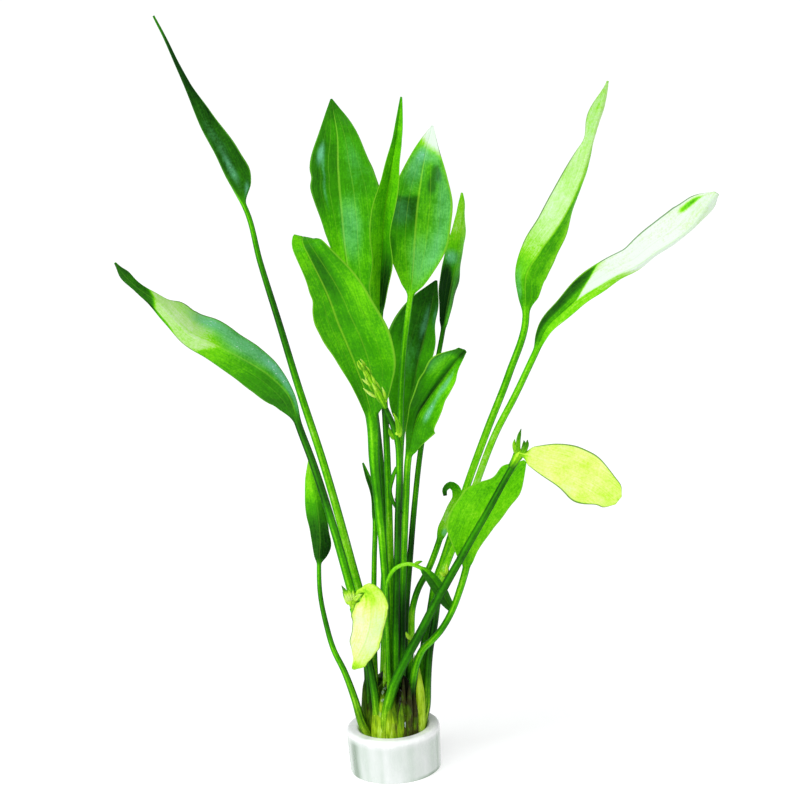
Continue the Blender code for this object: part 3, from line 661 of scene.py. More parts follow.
# A narrow blade shows its veins and its margin less.
FULL_VEIN_WIDTH = 9
LEAST_BREADTH = 0.2


def half_width(widths, v, notches):
    """A half's width at v, less its notches: each takes depth times a bell off it."""
    width = np.maximum(spread(widths, v), NARROWEST_HALF)
    for _, at, depth, reach in notches:
        width = np.maximum(width - depth * bell((v - at) / reach), NARROWEST_HALF)
    return width


def leaf(name, slot, petiole, blade, left, right, turn, fold, radii, left_tones, right_tones,
         stalk_tones, patches=(), steps=(), bloom=(), notches=(), crease=0.6, ripple=0.5, waves=3.0,
         veins=1.0):
    """A leaf in one skin, from the rootstock to its tip. Widths, turns, folds and tones are given at
    even steps, and the tones hold the leaf's painted light and shade. Patches and painted sheen
    patches are what patch takes after u and v, and steps what step takes. A notch is (side, along,
    depth, reach): it takes depth off the half width there."""
    route = np.array(petiole + blade, float)
    from_crown = petiole[0][2] == START
    if from_crown:
        route[0, 2] = CROWN_Z
    run = along(route)
    base, tip = run[len(petiole)], run[-1]
    on_stalk = np.linspace(0, base, max(4, round(base / STALK_STEP)))
    on_blade = np.linspace(base, tip, max(12, round((tip - base) / BLADE_STEP)))
    where = np.concatenate([on_stalk[:-1], on_blade])
    up_stalk = np.minimum(where / base, 1.0)
    v = np.clip((where - base) / (tip - base), 0.0, 1.0)
    opened = ease(v / OPENING)[:, None]

    left_half = half_width(left, v, [one for one in notches if one[0] == -1])
    right_half = half_width(right, v, [one for one in notches if one[0] == 1])
    shut = np.minimum(1.0, (left_half + right_half) / FULL_FOLD_WIDTH)
    flat_rings = blade_sections(v, left_half, right_half, np.radians(spread(turn, v)),
                                np.radians(spread(fold, v)) * shut, crease, ripple, waves)
    radius = spread(radii, up_stalk) * (1 - STALK_TAPER * v)
    if from_crown:
        radius = radius * (1 + SHEATH_WIDENING * bell(where / SHEATH_REACH))
    round_rings = round_sections(radius, ring_angle, RIBS, RIB_DEPTH)
    rings = round_rings * (1 - opened[..., None]) + flat_rings * opened[..., None]

    seen = painted(ring_across, v, left_tones, right_tones, patches, steps)
    hidden = (0.5 * (spread(left_tones, v) + spread(right_tones, v)))[:, None] + UNDERSIDE_PALER
    on_leaf = seen * (1 - ring_under) + hidden * ring_under
    # The stalk's tones hold its painted light and shade along it, and stalk_tone adds the painted light and
    # shade round it.
    on_petiole = stalk_tone(stalk_tones, up_stalk, ring_angle)
    # Painted sheen, on the face of the blade only.
    cast = sum(patch(ring_across, v[:, None], *one) for one in bloom) * opened * (1 - ring_under)
    width = np.where(ring_across > 0, right_half[:, None], left_half[:, None])
    out = ring_across * width * opened + (1 - opened) * np.cos(ring_angle) * STALK_FIBRE_WIDTH
    flat = np.stack(np.broadcast_arrays(out, where[:, None], ring_under * BACK_FIBRE_SHIFT), axis=-1)
    breadth = np.clip((left_half + right_half)[:, None] / FULL_VEIN_WIDTH, LEAST_BREADTH, 1)
    made = skin(placed(rings, *frames(route, where)),
                tone=on_line(on_leaf * opened + on_petiole * (1 - opened)),
                bloom=np.clip(cast, 0, 1), across=ring_across, blade=opened * breadth,
                veined=opened * breadth * veins, under=ring_under * opened,
                foot=from_crown * bell(where / FOOT_REACH)[:, None], flat=flat)
    piece(name, FINISHES[slot], [made], replaces=[name])


print("stations on a blade of 75 mm:", round(75 / BLADE_STEP))

# %% [markdown]
# The three leaves on the left.
# The tall one is folded nearly shut, so only a narrow strip of its left half shows beside the
# right one. The arching one shows its back ridge, with a pale upper half of painted glare and
# painted waxy sheen, and a tip that twists. The small one hangs behind, dark at its foot.

# %% Leaves on the left
leaf("leaf_01_tall_left", "deep_green_leaf",
     petiole=[(-6.4, 2.6, START), (-5.8, 2.3, 22), (-5.4, 1.6, 36), (-5.6, 1.0, 46), (-6.9, 0.5, 57),
              (-9.9, 0.2, 74), (-12.1, 0.4, 86), (-16.5, 2, 107.5), (-22.6, 5, 132.5), (-27.4, 8, 154),
              (-31.7, 10, 173)],
     blade=[(-35.1, 12, 190.5), (-40.1, 13, 200.5), (-43.2, 13.5, 208.5), (-46.7, 14, 216.5),
            (-50.5, 15, 228.5), (-53.3, 16, 237), (-56.6, 18, 246.5), (-59.3, 20, 252.5)],
     left=[1, 5.5, 6.2, 5.6, 4.0, 2.2, 1.2, 0.7, 0.3], right=[1, 7.4, 7.4, 6.2, 4.6, 2.3, 1.3, 0.7, 0.3],
     turn=[30, 60, 60, 50], fold=[-40, -70, -70, -50], radii=[1.45, 1.45, 1.35, 1.15, 0.85],
     left_tones=[0.3, 0.2, 0.1, 0.0, -0.3, -0.1],
     right_tones=[-0.4, -0.6, -0.6, -0.85, -1.0, -0.4],
     stalk_tones=[-0.4, -0.3, 0.1, 0.45, 0.6, 0.35, 0.35, 0.0, -0.6, -0.2, 0.2],
     patches=[(1.0, 0.62, 0.5, 0.2, -0.2)],
     bloom=[(0.30, 0.19, 0.16, 0.09, 0.55), (0.35, 0.36, 0.25, 0.12, 0.3), (0.7, 0.07, 0.2, 0.03, 0.7),
            (0.5, 0.02, 0.2, 0.02, 0.8)],
     crease=0.85, ripple=0.2, veins=0.15)
leaf("leaf_02_arching_left", "deep_green_leaf",
     petiole=[(-7.7, -1.2, START), (-7.3, -1.9, 21), (-6.9, -3.0, 31), (-6.9, -4.2, 41),
              (-7.8, -5.0, 50), (-10.9, -6.4, 68.5), (-14.3, -7.4, 87), (-19.5, -8.8, 111)],
     blade=[(-22.8, -10, 123.5), (-25.2, -11, 134), (-30.5, -13, 141.5), (-35.2, -15, 146),
            (-41.3, -18, 151), (-47.4, -20, 155.5), (-53.6, -22, 159.5), (-58.8, -24, 166),
            (-63.7, -26, 172.5), (-68.1, -28, 177), (-71.8, -30, 182), (-74, -32, 186.5)],
     left=[1.2, 6.8, 7.6, 6.4, 5.0, 3.5, 2.6, 1.2, 0.3],
     right=[1.2, 2.3, 6.4, 8.6, 10.1, 8.5, 3.4, 1.6, 0.3],
     turn=[0, -12, -14, -14, 10], fold=[-20, -28, -28, -26, -35], radii=[1.45, 1.45, 1.35, 1.2],
     left_tones=[-0.5, -0.3, -0.05, 0.2, 0.45, 0.4, 0.4, 0.4, 0.3],
     right_tones=[0.0, 0.2, 0.25, 0.3, 0.5, 0.8, 0.9, 0.9, 0.8],
     stalk_tones=[-0.5, -0.3, -0.7, -0.2, 0.1, 0.3, 0.05, -0.1, -0.6, -0.45, -0.55],
     patches=[(0.25, 0.58, 0.3, 0.12, 0.25), (-1.0, 0.73, 0.28, 0.09, -0.8, 3)],
     steps=[(-1, 0.47, -0.09, 0.01, 0.5), (0, 0.79, 0.035, 0.012, -1.35)],
     bloom=[(0.6, 0.15, 0.5, 0.12, 0.75), (0.6, 0.38, 0.55, 0.2, 0.75), (0.8, 0.58, 0.35, 0.12, 0.45)],
     notches=[(1, 0.93, -0.9, 0.04), (-1, 0.93, -0.9, 0.04), (1, 0.69, -0.8, 0.035),
              (1, 0.62, 0.5, 0.03)],
     crease=0.75, ripple=0.12, waves=3.5, veins=0.45)
leaf("leaf_03_small_left", "deep_green_leaf",
     petiole=[(-7.8, -4.4, START), (-8.6, -4.9, 14), (-9.9, -5.8, 18), (-11.9, -6.9, 28),
              (-14.7, -7.5, 38.5), (-17.4, -7.2, 45.5), (-19.3, -6.2, 54.5), (-20.5, -4.5, 64.5)],
     blade=[(-20.2, -3, 73.5), (-19.2, -2, 82.5), (-19.2, -1, 90.5), (-19.9, 0, 99), (-20.8, 1, 108.5)],
     left=[0.8, 2.4, 3.2, 4.0, 3.4, 2.3, 0.3], right=[0.8, 4.0, 3.2, 2.6, 2.1, 1.1, 0.3],
     turn=[-8, -10], fold=[-18, -20], radii=[1.1, 1.1, 0.9, 0.75],
     left_tones=[-0.6, -0.75, -0.45, 0.2, 0.52, 0.6],
     right_tones=[-0.8, -0.9, -0.55, 0.12, 0.4, 0.4],
     stalk_tones=[0.5, 0.5, 0.0, 0.25, 0.15, 0.05, 0.25, -0.3, -0.25, -0.05, 0.1],
     crease=0.7, ripple=0.2, veins=0.3)

# %% [markdown]
# The tall leaves in the middle.
# Four blades stand up behind the rest: a broad one with lobes on its left margin, a narrow one
# folded like a boat, a pale oval one with painted shadows of its neighbours and a painted white
# glare at its tip, and a narrow one at the back whose lower half is almost black.

# %% Tall leaves in the middle
leaf("leaf_04_broad_rear", "deep_green_leaf",
     petiole=[(-4.0, 5.4, START), (-2.8, 6, 22), (-1.2, 7, 39.5), (-0.2, 8, 57), (1.2, 8.8, 70.5),
              (1.9, 9.6, 84), (2.1, 11, 104), (1.2, 13, 124)],
     blade=[(-0.6, 16, 145), (-2.2, 18, 153.5), (-4.4, 21, 170), (-4.8, 23.5, 182), (-4.9, 26, 198),
            (-4.4, 28.5, 209), (-5.1, 30.5, 216), (-5.5, 31.5, 219.8)],
     left=[1.2, 2.4, 3.4, 4.8, 6.9, 9.4, 8.9, 5.5, 0.3],
     right=[1.2, 6.2, 10.4, 12.8, 13.9, 13.2, 9.9, 5.6, 0.3],
     turn=[0, 0], fold=[18, 12, 10], radii=[1.3, 1.15, 1.05, 1.1],
     left_tones=[0.3, 0.35, 0.5, 0.35, 0.1, -0.05, -0.15, -0.1, -0.1],
     right_tones=[0.2, 0.25, 0.22, 0.22, 0.2, 0.1, 0.05, 0.0, -0.2],
     stalk_tones=[0.3, 0.4, 0.4, 0.1, -0.1, -0.2, -0.6, -0.5, -0.5, -0.5, -0.2],
     patches=[(-0.8, 0.62, 0.2, 0.12, -0.25), (0.85, 0.15, 0.25, 0.15, -0.4),
              (0.1, 1.0, 1.2, 0.1, -0.3), (-0.75, 0.82, 0.3, 0.1, -0.15), (0.8, 0.28, 0.3, 0.12, 0.08)],
     bloom=[(0.2, 0.45, 0.3, 0.14, 0.5), (-0.66, 0.77, 0.14, 0.05, 0.9), (-0.52, 0.66, 0.06, 0.10, 0.6),
            (0.5, 0.72, 0.3, 0.12, 0.25)],
     notches=[(-1, 0.675, 0.75, 0.025), (1, 0.53, 0.3, 0.04)],
     ripple=0.4, waves=5.0, veins=0.8)
leaf("leaf_06_narrow_centre", "fresh_green_leaf",
     petiole=[(-0.6, 4.2, START), (0.0, 3.9, 22.5), (1.1, 3.8, 40), (2.3, 4.2, 57.5), (3.3, 4.6, 78),
              (4.0, 5, 96), (4.6, 5.2, 115.5), (4.8, 5, 132)],
     blade=[(5.2, 5, 152), (5.9, 4.8, 162), (7.4, 4.5, 175), (9.4, 4.5, 189.5), (11.7, 4.5, 200),
            (14.4, 5, 211.5), (16.8, 6, 224)],
     left=[0.9, 4.6, 4.8, 6.3, 5.2, 2.8, 1.2, 0.3], right=[0.9, 3.4, 5.4, 3.9, 5.1, 4.2, 2.1, 0.3],
     turn=[0, 2], fold=[45, 50, 48, 45], radii=[1.2, 1.15, 1.15, 0.95],
     left_tones=[0.3, 0.35, 0.3, 0.25, 0.2, 0.2, 0.1, 0.0],
     right_tones=[-0.6, -0.8, -0.2, 0.15, 0.3, 0.3, 0.3, 0.1],
     stalk_tones=[-0.5, 0.3, 0.2, 0.2, 0.2, 0.5, 0.1, 0.0, -0.7, -0.3, 0.3],
     patches=[(0.1, 0.52, 0.2, 0.25, 0.1), (0.6, 0.2, 0.5, 0.12, -0.3, 3)],
     crease=0.85, ripple=0.3, veins=0.5)
leaf("leaf_07_pale_centre", "fresh_green_leaf",
     petiole=[(0.4, 0.2, START), (1.9, 0.4, 23.5), (3.1, 0.4, 41), (4.3, 0.4, 58.5), (6.4, 0.2, 86.5),
              (8.6, -0.5, 108.5), (10.2, -1, 128.5), (12.7, -0.5, 147)],
     blade=[(15.2, 2, 159.5), (16.4, 5, 165.5), (18.1, 9, 177.5), (19.8, 12, 188), (21.7, 15, 196.5),
            (23.9, 18, 204.5), (26.2, 20, 211.2)],
     left=[1.1, 5.2, 8.6, 9.3, 8.7, 6.6, 3.7, 0.3], right=[1.1, 6.2, 10.3, 11.5, 11.2, 8.4, 4.6, 0.3],
     turn=[0, 0], fold=[16, 12, 10], radii=[1.25, 1.2, 1.05, 0.95],
     left_tones=[0.35, 0.35, 0.2, -0.42, -0.38, -0.3, -0.2],
     right_tones=[0.3, 0.3, 0.3, 0.25, 0.2, 0.3, 0.6],
     stalk_tones=[-0.5, -0.2, -0.8, -0.8, -0.5, -0.5, -0.1, 0.2, 0.05, 0.25, 0.6],
     # Painted shadows of the neighbouring leaves; the last step is the painted white glare at the tip.
     patches=[(-0.95, 0.30, 0.3, 0.07, -0.3, 3), (0.58, 0.73, 0.20, 0.05, -0.6, 3),
              (0.38, 0.66, 0.15, 0.05, -0.5, 3)],
     steps=[(-1, 0.588, 0.02, 0.007, 0.55), (0, 0.88, -0.04, 0.035, 1.25)],
     bloom=[(0.3, 0.22, 0.6, 0.16, 0.45), (0.75, 0.5, 0.3, 0.3, 0.5), (-0.5, 0.49, 0.5, 0.09, 0.3),
            (-0.4, 0.74, 0.5, 0.12, 0.55), (0.2, 0.84, 0.8, 0.06, 0.6)],
     ripple=0.25, waves=2.5, veins=0.7)
leaf("leaf_08_narrow_right", "deep_green_leaf",
     petiole=[(4.6, 3.6, START), (4.4, 3.8, 22), (5.6, 4.8, 39), (7.0, 6.2, 53), (9.4, 8.4, 69.5),
              (11.9, 10.5, 86), (15.5, 14, 105.5), (19.5, 17, 121.5)],
     blade=[(25.2, 21, 142.5), (27.0, 22.5, 150), (29.2, 24, 158), (31.3, 25.5, 165.5), (33.0, 27, 174),
            (34.0, 28.5, 180), (34.5, 30, 186.3)],
     left=[0.9, 2.7, 4.4, 4.9, 3.7, 2.2, 0.3], right=[0.9, 3.2, 4.2, 4.0, 4.1, 2.6, 0.3],
     turn=[-15, -18], fold=[-40, -47, -45], radii=[1.2, 1.1, 0.95, 0.8],
     left_tones=[-0.2, -0.1, 0.0, 0.2, 0.58, 0.68, 0.64],
     right_tones=[0.2, 0.2, 0.1, 0.2, 0.5, 0.62, 0.5],
     stalk_tones=[-0.6, -1.0, -0.4, -0.7, -0.4, -0.8, 0.0, -0.2, -0.4, 0.0, -0.5],
     patches=[(-0.6, 0.22, 0.75, 0.27, -1.2, 4), (0.8, 0.3, 0.4, 0.12, -0.5)],
     bloom=[(-0.4, 0.535, 0.6, 0.06, 0.8)],
     crease=0.8, ripple=0.25, veins=0.25)

# %% [markdown]
# The broad leaf in front and its neighbours.
# The broadest leaf faces the light and rolls its tip back. Behind it a dark leaf shows, and to
# its right a short one folded along its midrib, with a strip of painted gloss on its bright half.

# %% Leaves in front
leaf("leaf_05_broad_front", "fresh_green_leaf",
     petiole=[(-2.4, -3.0, START), (-1.4, -3.4, 25), (-0.2, -3.8, 43), (0.7, -4.2, 60.5),
              (0.9, -4.6, 78), (0.5, -5.5, 95.5), (0.2, -7, 109.5)],
     blade=[(0.5, -9, 123.5), (-0.8, -11, 132.5), (-3.1, -13, 141.5), (-5.6, -15, 150.5),
            (-8.1, -17, 159), (-9.9, -19, 166.5), (-12.1, -21, 173.5), (-14.0, -22.5, 178.8),
            (-15.5, -23, 182.8), (-16.5, -22, 185.0), (-16.9, -19, 186.3), (-16.7, -15.5, 186.5)],
     left=[2.0, 3.0, 4.4, 5.7, 7.2, 6.6, 4.5, 3.8, 2.8],
     right=[2.2, 7.8, 12.8, 14.4, 13.7, 12.1, 9.6, 6.6, 3.0],
     turn=[-4, -6, -4], fold=[24, 22, 14, 4], radii=[1.5, 1.3, 1.25, 1.5, 2.1],
     left_tones=[0.0, 0.1, 0.22, 0.27, 0.22, 0.15, 0.2, 0.3, 0.4],
     right_tones=[-0.1, 0.0, 0.15, 0.15, 0.15, 0.05, -0.12, -0.1, 0.35],
     stalk_tones=[0.3, 0.25, 0.75, 0.4, 0.2, 0.15, 0.2, 0.3, -0.15, 0.2, 0.15],
     patches=[(0.24, 0.84, 0.28, 0.13, -0.24, 1.5), (0.17, 0.68, 0.22, 0.12, -0.13, 1.5),
              (0.7, 0.72, 0.3, 0.22, 0.25), (0.8, 0.55, 0.3, 0.25, 0.15), (-0.7, 0.2, 0.4, 0.2, -0.15)],
     notches=[(-1, 0.665, 0.8, 0.035), (-1, 0.56, -0.4, 0.04)],
     ripple=0.25, waves=3.5, veins=0.7)
leaf("leaf_09_dark_rear", "deep_green_leaf",
     petiole=[(2.2, 7.0, START), (2.9, 7.2, 21.5), (4.0, 7.6, 39), (5.2, 8.2, 56.5), (6.4, 8.6, 73.5),
              (7.5, 8.8, 90.5), (8.6, 9, 106)],
     blade=[(9.8, 9.5, 114), (11.8, 10, 120), (14.2, 11, 126), (16.4, 12.5, 134.5), (18.9, 14, 142),
            (21.4, 15.5, 150), (24.2, 17, 161)],
     left=[1.8, 6.2, 9.6, 11.2, 12.2, 10.8, 7.2, 0.4], right=[1.2, 1.8, 2.6, 4.1, 4.6, 2.9, 2.2, 0.3],
     turn=[12, 15], fold=[20, 20, 14], radii=[1.25, 1.15, 1.1, 1.2],
     left_tones=[0.0, 0.0, -0.05, -0.25, -0.5, -0.7, -0.75],
     right_tones=[0.0, -0.2, 0.0, 0.05, -0.1, -0.5, -0.7],
     stalk_tones=[-0.8, -0.3, -0.4, 0.0, -0.9, -0.6, -0.45, -0.5, -0.1, 0.4, 0.0],
     patches=[(-0.03, 0.45, 0.1, 0.3, -0.35), (-0.75, 0.55, 0.3, 0.2, 0.25)],
     bloom=[(0.85, 0.78, 0.4, 0.08, 0.5), (-0.25, 0.5, 0.25, 0.2, 0.25), (-0.1, 0.72, 0.1, 0.12, 0.5)],
     ripple=0.3, veins=0.15)
leaf("leaf_10_folded_right", "fresh_green_leaf",
     petiole=[(3.6, -2.4, START), (3.6, -2.4, 24), (4.9, -2.8, 42), (6.1, -3.3, 59.5), (7.7, -4.2, 77),
              (9.5, -5.5, 95)],
     blade=[(11.1, -8, 109.5), (12.8, -9.5, 117.5), (15.2, -11, 125), (18.3, -13, 130),
            (21.4, -15, 134.5), (24.7, -17, 139), (28.1, -19, 143.8), (31.1, -21, 147.9)],
     left=[1.1, 1.8, 3.5, 4.9, 6.5, 8.4, 8.4, 2.4], right=[1.1, 4.2, 8.2, 9.8, 7.3, 5.2, 2.9, 0.8],
     turn=[0, 0], fold=[30, 40, 40, 34], radii=[1.25, 1.15, 1.1, 1.15],
     left_tones=[0.1, 0.0, -0.2, -0.25, 0.0, 0.2, 0.1],
     right_tones=[0.1, 0.1, 0.15, 0.2, 0.3, 0.3, -0.3],
     stalk_tones=[-0.9, -1.0, -0.5, -0.2, -1.0, -0.8, 0.1, 0.2, 0.3, 0.2, 0.35],
     patches=[(-0.08, 0.62, 0.14, 0.36, -0.7, 2), (-0.5, 0.75, 0.2, 0.2, 0.15),
              (-0.95, 0.8, 0.12, 0.2, -0.4), (0.0, 1.0, 1.4, 0.07, -0.6, 3)],
     bloom=[(0.38, 0.45, 0.14, 0.12, 0.8), (0.42, 0.7, 0.2, 0.14, 0.7), (-0.8, 0.85, 0.3, 0.12, 0.3)],
     notches=[(1, 0.62, 0.6, 0.05), (1, 0.8, -0.5, 0.05)],
     crease=0.85, ripple=0.5, waves=2.5, veins=0.2)

# %% [markdown]
# The two long leaves on the right.
# Both lean far out and twist, so the light comes through their outer halves and shines off them,
# and these are painted almost white for it, while the halves near the stalk stay green.

# %% Long leaves on the right
leaf("leaf_11_upright_right", "fresh_green_leaf",
     petiole=[(8.6, 2.4, START), (8.9, 2.4, 14), (10.4, 2.6, 25.5), (11.0, 2.9, 33), (12.0, 3.3, 40.5),
              (13.8, 3.9, 47.5), (15.5, 4.7, 55), (17.2, 5.5, 62), (20.2, 6.3, 69), (24.1, 7.2, 79),
              (30.0, 8.4, 94.5), (37.4, 10.2, 111.5), (45.5, 12.5, 129)],
     blade=[(52.2, 15, 147), (52.4, 16, 153), (53.2, 17, 160.5), (58.4, 19, 168), (64.5, 21, 175),
            (69.9, 23, 183), (73.7, 25, 190.5), (76.4, 26.5, 198), (79.2, 28, 206), (82.0, 30, 213.5),
            (83.7, 32, 219.2)],
     left=[1.1, 3.1, 5.9, 7.3, 7.6, 6.1, 3.9, 3.8, 0.3],
     right=[1.1, 6.3, 7.1, 5.2, 3.5, 2.5, 1.8, 1.1, 0.3],
     turn=[0, -4, -25, -40, -40], fold=[-18, -24, -40, -38, -20], radii=[1.4, 1.3, 1.25, 1.25, 1.2],
     left_tones=[0.2, 0.3, 0.65, 1.0, 1.05, 1.0, 1.0, 0.95, 0.8],
     right_tones=[0.1, 0.2, 0.2, 0.2, 0.3, 0.6, 0.95, 1.0, 0.9],
     stalk_tones=[0.8, 0.6, -0.3, -0.5, 0.35, 0.1, 0.5, 0.55, 0.35, 0.2, 0.35],
     patches=[(0.95, 0.3, 0.3, 0.3, 0.35), (1.0, 0.655, 0.6, 0.05, -0.4, 3),
              (1.0, 0.725, 0.5, 0.03, -0.9, 2)],
     bloom=[(-0.7, 0.12, 0.4, 0.08, 0.5), (-0.5, 0.85, 0.6, 0.15, 0.35), (-0.6, 0.5, 0.5, 0.2, 0.15)],
     notches=[(1, 0.64, -1.3, 0.05), (1, 0.75, 0.8, 0.035), (-1, 0.76, 0.9, 0.05),
              (1, 0.88, -1.3, 0.06)],
     crease=0.8, ripple=0.45, waves=3.0, veins=0.6)
leaf("leaf_12_far_right", "fresh_green_leaf",
     petiole=[(8.9, -1.0, START), (9.3, -1.0, 14), (11.3, -0.9, 21.5), (12.2, -0.5, 29),
              (12.8, -0.3, 34), (14.0, 0, 41.5), (15.8, 0, 49), (17.2, 0, 56.5), (18.8, 0, 64),
              (21.8, -0.2, 71.5), (26.3, -0.7, 81.5), (32.7, -1.6, 98), (40.1, -3.6, 115.5),
              (46.1, -5.2, 126.5)],
     blade=[(53.2, -8, 141), (58.0, -9.5, 150.5), (62.6, -11, 155), (68.3, -12.5, 160.0),
            (74.6, -14, 164.0), (80.2, -15.5, 167.4), (86.0, -17, 170), (92.2, -19, 174.5),
            (98.1, -21, 178.5), (103.3, -23, 183), (107.7, -24, 189), (110.9, -25, 193.6)],
     left=[0.9, 3.1, 4.7, 6.2, 6.3, 7.5, 8.9, 7.6, 0.3],
     right=[0.9, 2.1, 2.6, 2.4, 2.3, 2.3, 2.3, 1.6, 0.3],
     turn=[0, -5, -22, -30, -15], fold=[30, 22, -20, -45, -30], radii=[1.3, 1.25, 1.2, 1.15, 1.1],
     left_tones=[0.1, 0.15, 0.2, 0.22, 0.1, 0.1, 0.1, 0.05, 0.0],
     right_tones=[0.35, 0.5, 0.6, 0.62, 0.62, 0.5, 0.4, 0.3, 0.3],
     stalk_tones=[0.8, 0.35, -0.6, -1.0, 0.55, 0.45, 0.5, 0.7, 0.55, 0.4, 0.45],
     patches=[(-0.95, 0.24, 0.55, 0.21, -0.8, 4), (-0.72, 0.90, 0.13, 0.06, -1.0, 2)],
     # Painted glare, almost white, past these two steps.
     steps=[(-1, 0.294, -0.150, 0.008, 1.3), (1, 0.52, 0.05, 0.04, 1.1)],
     bloom=[(-0.3, 0.93, 0.8, 0.07, 0.25)],
     notches=[(-1, 0.95, -1.1, 0.05), (1, 0.92, -2.9, 0.07)],
     crease=0.7, ripple=0.35, waves=3.0, veins=0.4)

# %% [markdown]
# The low leaves on the right, and the young spear.
# A bright blade stands behind the bare flower stalk. A small one hooks its tip over, another
# hangs from a thin arched stalk in front, and the youngest leaf is still a rolled spear.

# %% Low leaves
leaf("leaf_13_bright_low_right", "fresh_green_leaf",
     petiole=[(5.4, -6.2, START), (6.2, -6.3, 20), (7.1, -6.6, 29.5), (8.1, -7.4, 35), (9.4, -8.2, 40),
              (11.6, -9.0, 44.5), (14.5, -10.0, 47.5), (17.5, -11.0, 51), (19.8, -11.6, 54.5),
              (22.2, -12.0, 59), (24.5, -12.2, 64.6)],
     blade=[(27.1, -12, 72), (29.1, -11.5, 80), (32.1, -11, 87.5), (36.4, -10.8, 94),
            (41.8, -11, 100.5), (48.2, -12, 107.2)],
     left=[1.3, 5.2, 9.6, 9.0, 6.8, 4.2, 0.6], right=[1.3, 2.8, 4.8, 6.3, 6.4, 5.5, 0.6],
     turn=[0, 4], fold=[16, 14, 12], radii=[1.4, 1.35, 1.2, 1.1, 1.2],
     left_tones=[0.35, 0.42, 0.42, 0.42, 0.42, 0.42],
     right_tones=[0.45, 0.47, 0.49, 0.49, 0.45, 0.38],
     stalk_tones=[0.0, 0.0, -1.0, -1.0, 0.1, 0.2, 0.35, -0.2, 0.15, 0.3, 0.3],
     patches=[(-0.4, 0.62, 0.25, 0.12, -0.1), (-0.2, 0.9, 0.6, 0.07, -0.1)],
     notches=[(-1, 0.74, 1.3, 0.075), (-1, 0.25, -0.6, 0.1), (1, 0.6, 0.4, 0.1), (-1, 0.86, -0.6, 0.05),
              (-1, 0.56, -0.7, 0.06)],
     ripple=0.4, waves=2.5, veins=0.25)
leaf("leaf_14_small_hooked", "fresh_green_leaf",
     petiole=[(6.2, 0.6, START), (5.8, 0.8, 23), (6.4, 1.4, 30.5), (7.1, 2.2, 36.5), (8.1, 3.3, 45),
              (9.2, 4.6, 54), (11.3, 6.2, 59.5), (15.0, 8.6, 65)],
     blade=[(19.4, 11.5, 74), (21.4, 12, 79.5), (23.9, 12.3, 84.5), (26.2, 12.2, 88.6),
            (25.9, 11.8, 91.8), (24.1, 11, 93.3), (22.3, 10, 92.0), (22.4, 9.4, 90.2)],
     left=[1.0, 1.6, 1.4, 1.5, 1.6, 1.2, 0.6], right=[1.0, 2.2, 2.4, 2.4, 2.0, 1.1, 0.6],
     turn=[10, 10], fold=[25, 30, 10], radii=[1.2, 1.15, 1.1, 1.05],
     left_tones=[0.35, 0.62, 0.72, 0.72, 0.55, 0.0, -0.9],
     right_tones=[0.4, 0.65, 0.7, 0.66, 0.45, -0.1, -0.9],
     stalk_tones=[0.0, 0.0, -0.9, -0.9, 0.1, 0.7, 0.85, 0.0, -0.35, 0.35, 0.1],
     bloom=[(0.6, 0.13, 0.7, 0.06, 0.9)],
     ripple=0.25, veins=0.3)
leaf("leaf_15_small_arching", "deep_green_leaf",
     petiole=[(0.6, -6.9, START), (-0.2, -7.0, 21), (-0.2, -7.3, 34), (0.2, -7.8, 48),
              (0.8, -8.8, 61.5), (1.9, -10, 69.6), (4.7, -10.9, 73.8), (8.4, -11.2, 75.0)],
     blade=[(12.5, -11, 73.4), (15.6, -10.6, 69.9), (18.2, -10.2, 65.4), (20.1, -9.8, 61.4),
            (21.4, -9.4, 58.4), (22.2, -9.2, 56)],
     left=[0.7, 1.8, 2.3, 2.4, 2.0, 0.3], right=[0.7, 1.9, 2.3, 2.4, 2.0, 0.3],
     turn=[10, 12], fold=[-30, -28], radii=[0.9, 0.8, 0.7, 0.65],
     left_tones=[0.6, 0.1, -0.15, -0.3, -0.3],
     right_tones=[-0.2, -0.5, -0.5, -0.5, -0.4],
     stalk_tones=[0.6, 0.6, -0.3, 0.6, 0.1, 0.3, 0.3, 0.2, 0.25, 0.85, 0.7],
     ripple=0.15, veins=0.4)
leaf("leaf_16_young_spear", "deep_green_leaf",
     petiole=[(-4.6, -0.6, START), (-4.9, -0.8, 22), (-4.7, -1.0, 34), (-4.1, -1.2, 46),
              (-3.3, -1.4, 59.5), (-2.2, -1.6, 73.5)],
     blade=[(-1.0, -1.8, 87), (-0.7, -2.4, 97), (-2.0, -2.8, 102), (-3.5, -3.2, 107.5)],
     left=[0.8, 1.2, 1.2, 0.9, 0.3], right=[0.8, 1.0, 1.2, 0.8, 0.3],
     turn=[0, 0], fold=[40, 40], radii=[1.1, 1.0, 0.9, 0.85],
     left_tones=[-0.2, -0.5, -0.7, -0.5],
     right_tones=[-0.1, -0.3, -0.3, -0.2],
     stalk_tones=[0.5, 0.6, -0.4, 0.6, 0.1, -0.05, 0.0, 0.05, 0.2, 0.1, 0.2],
     ripple=0.1)

# %% [markdown]
# The plantlets' pale leaves.
# Young leaves on the flower stalks are thin, soft and yellow-green. Light goes right through
# them, so they are the palest things on the plant, with veins darker than the blade.

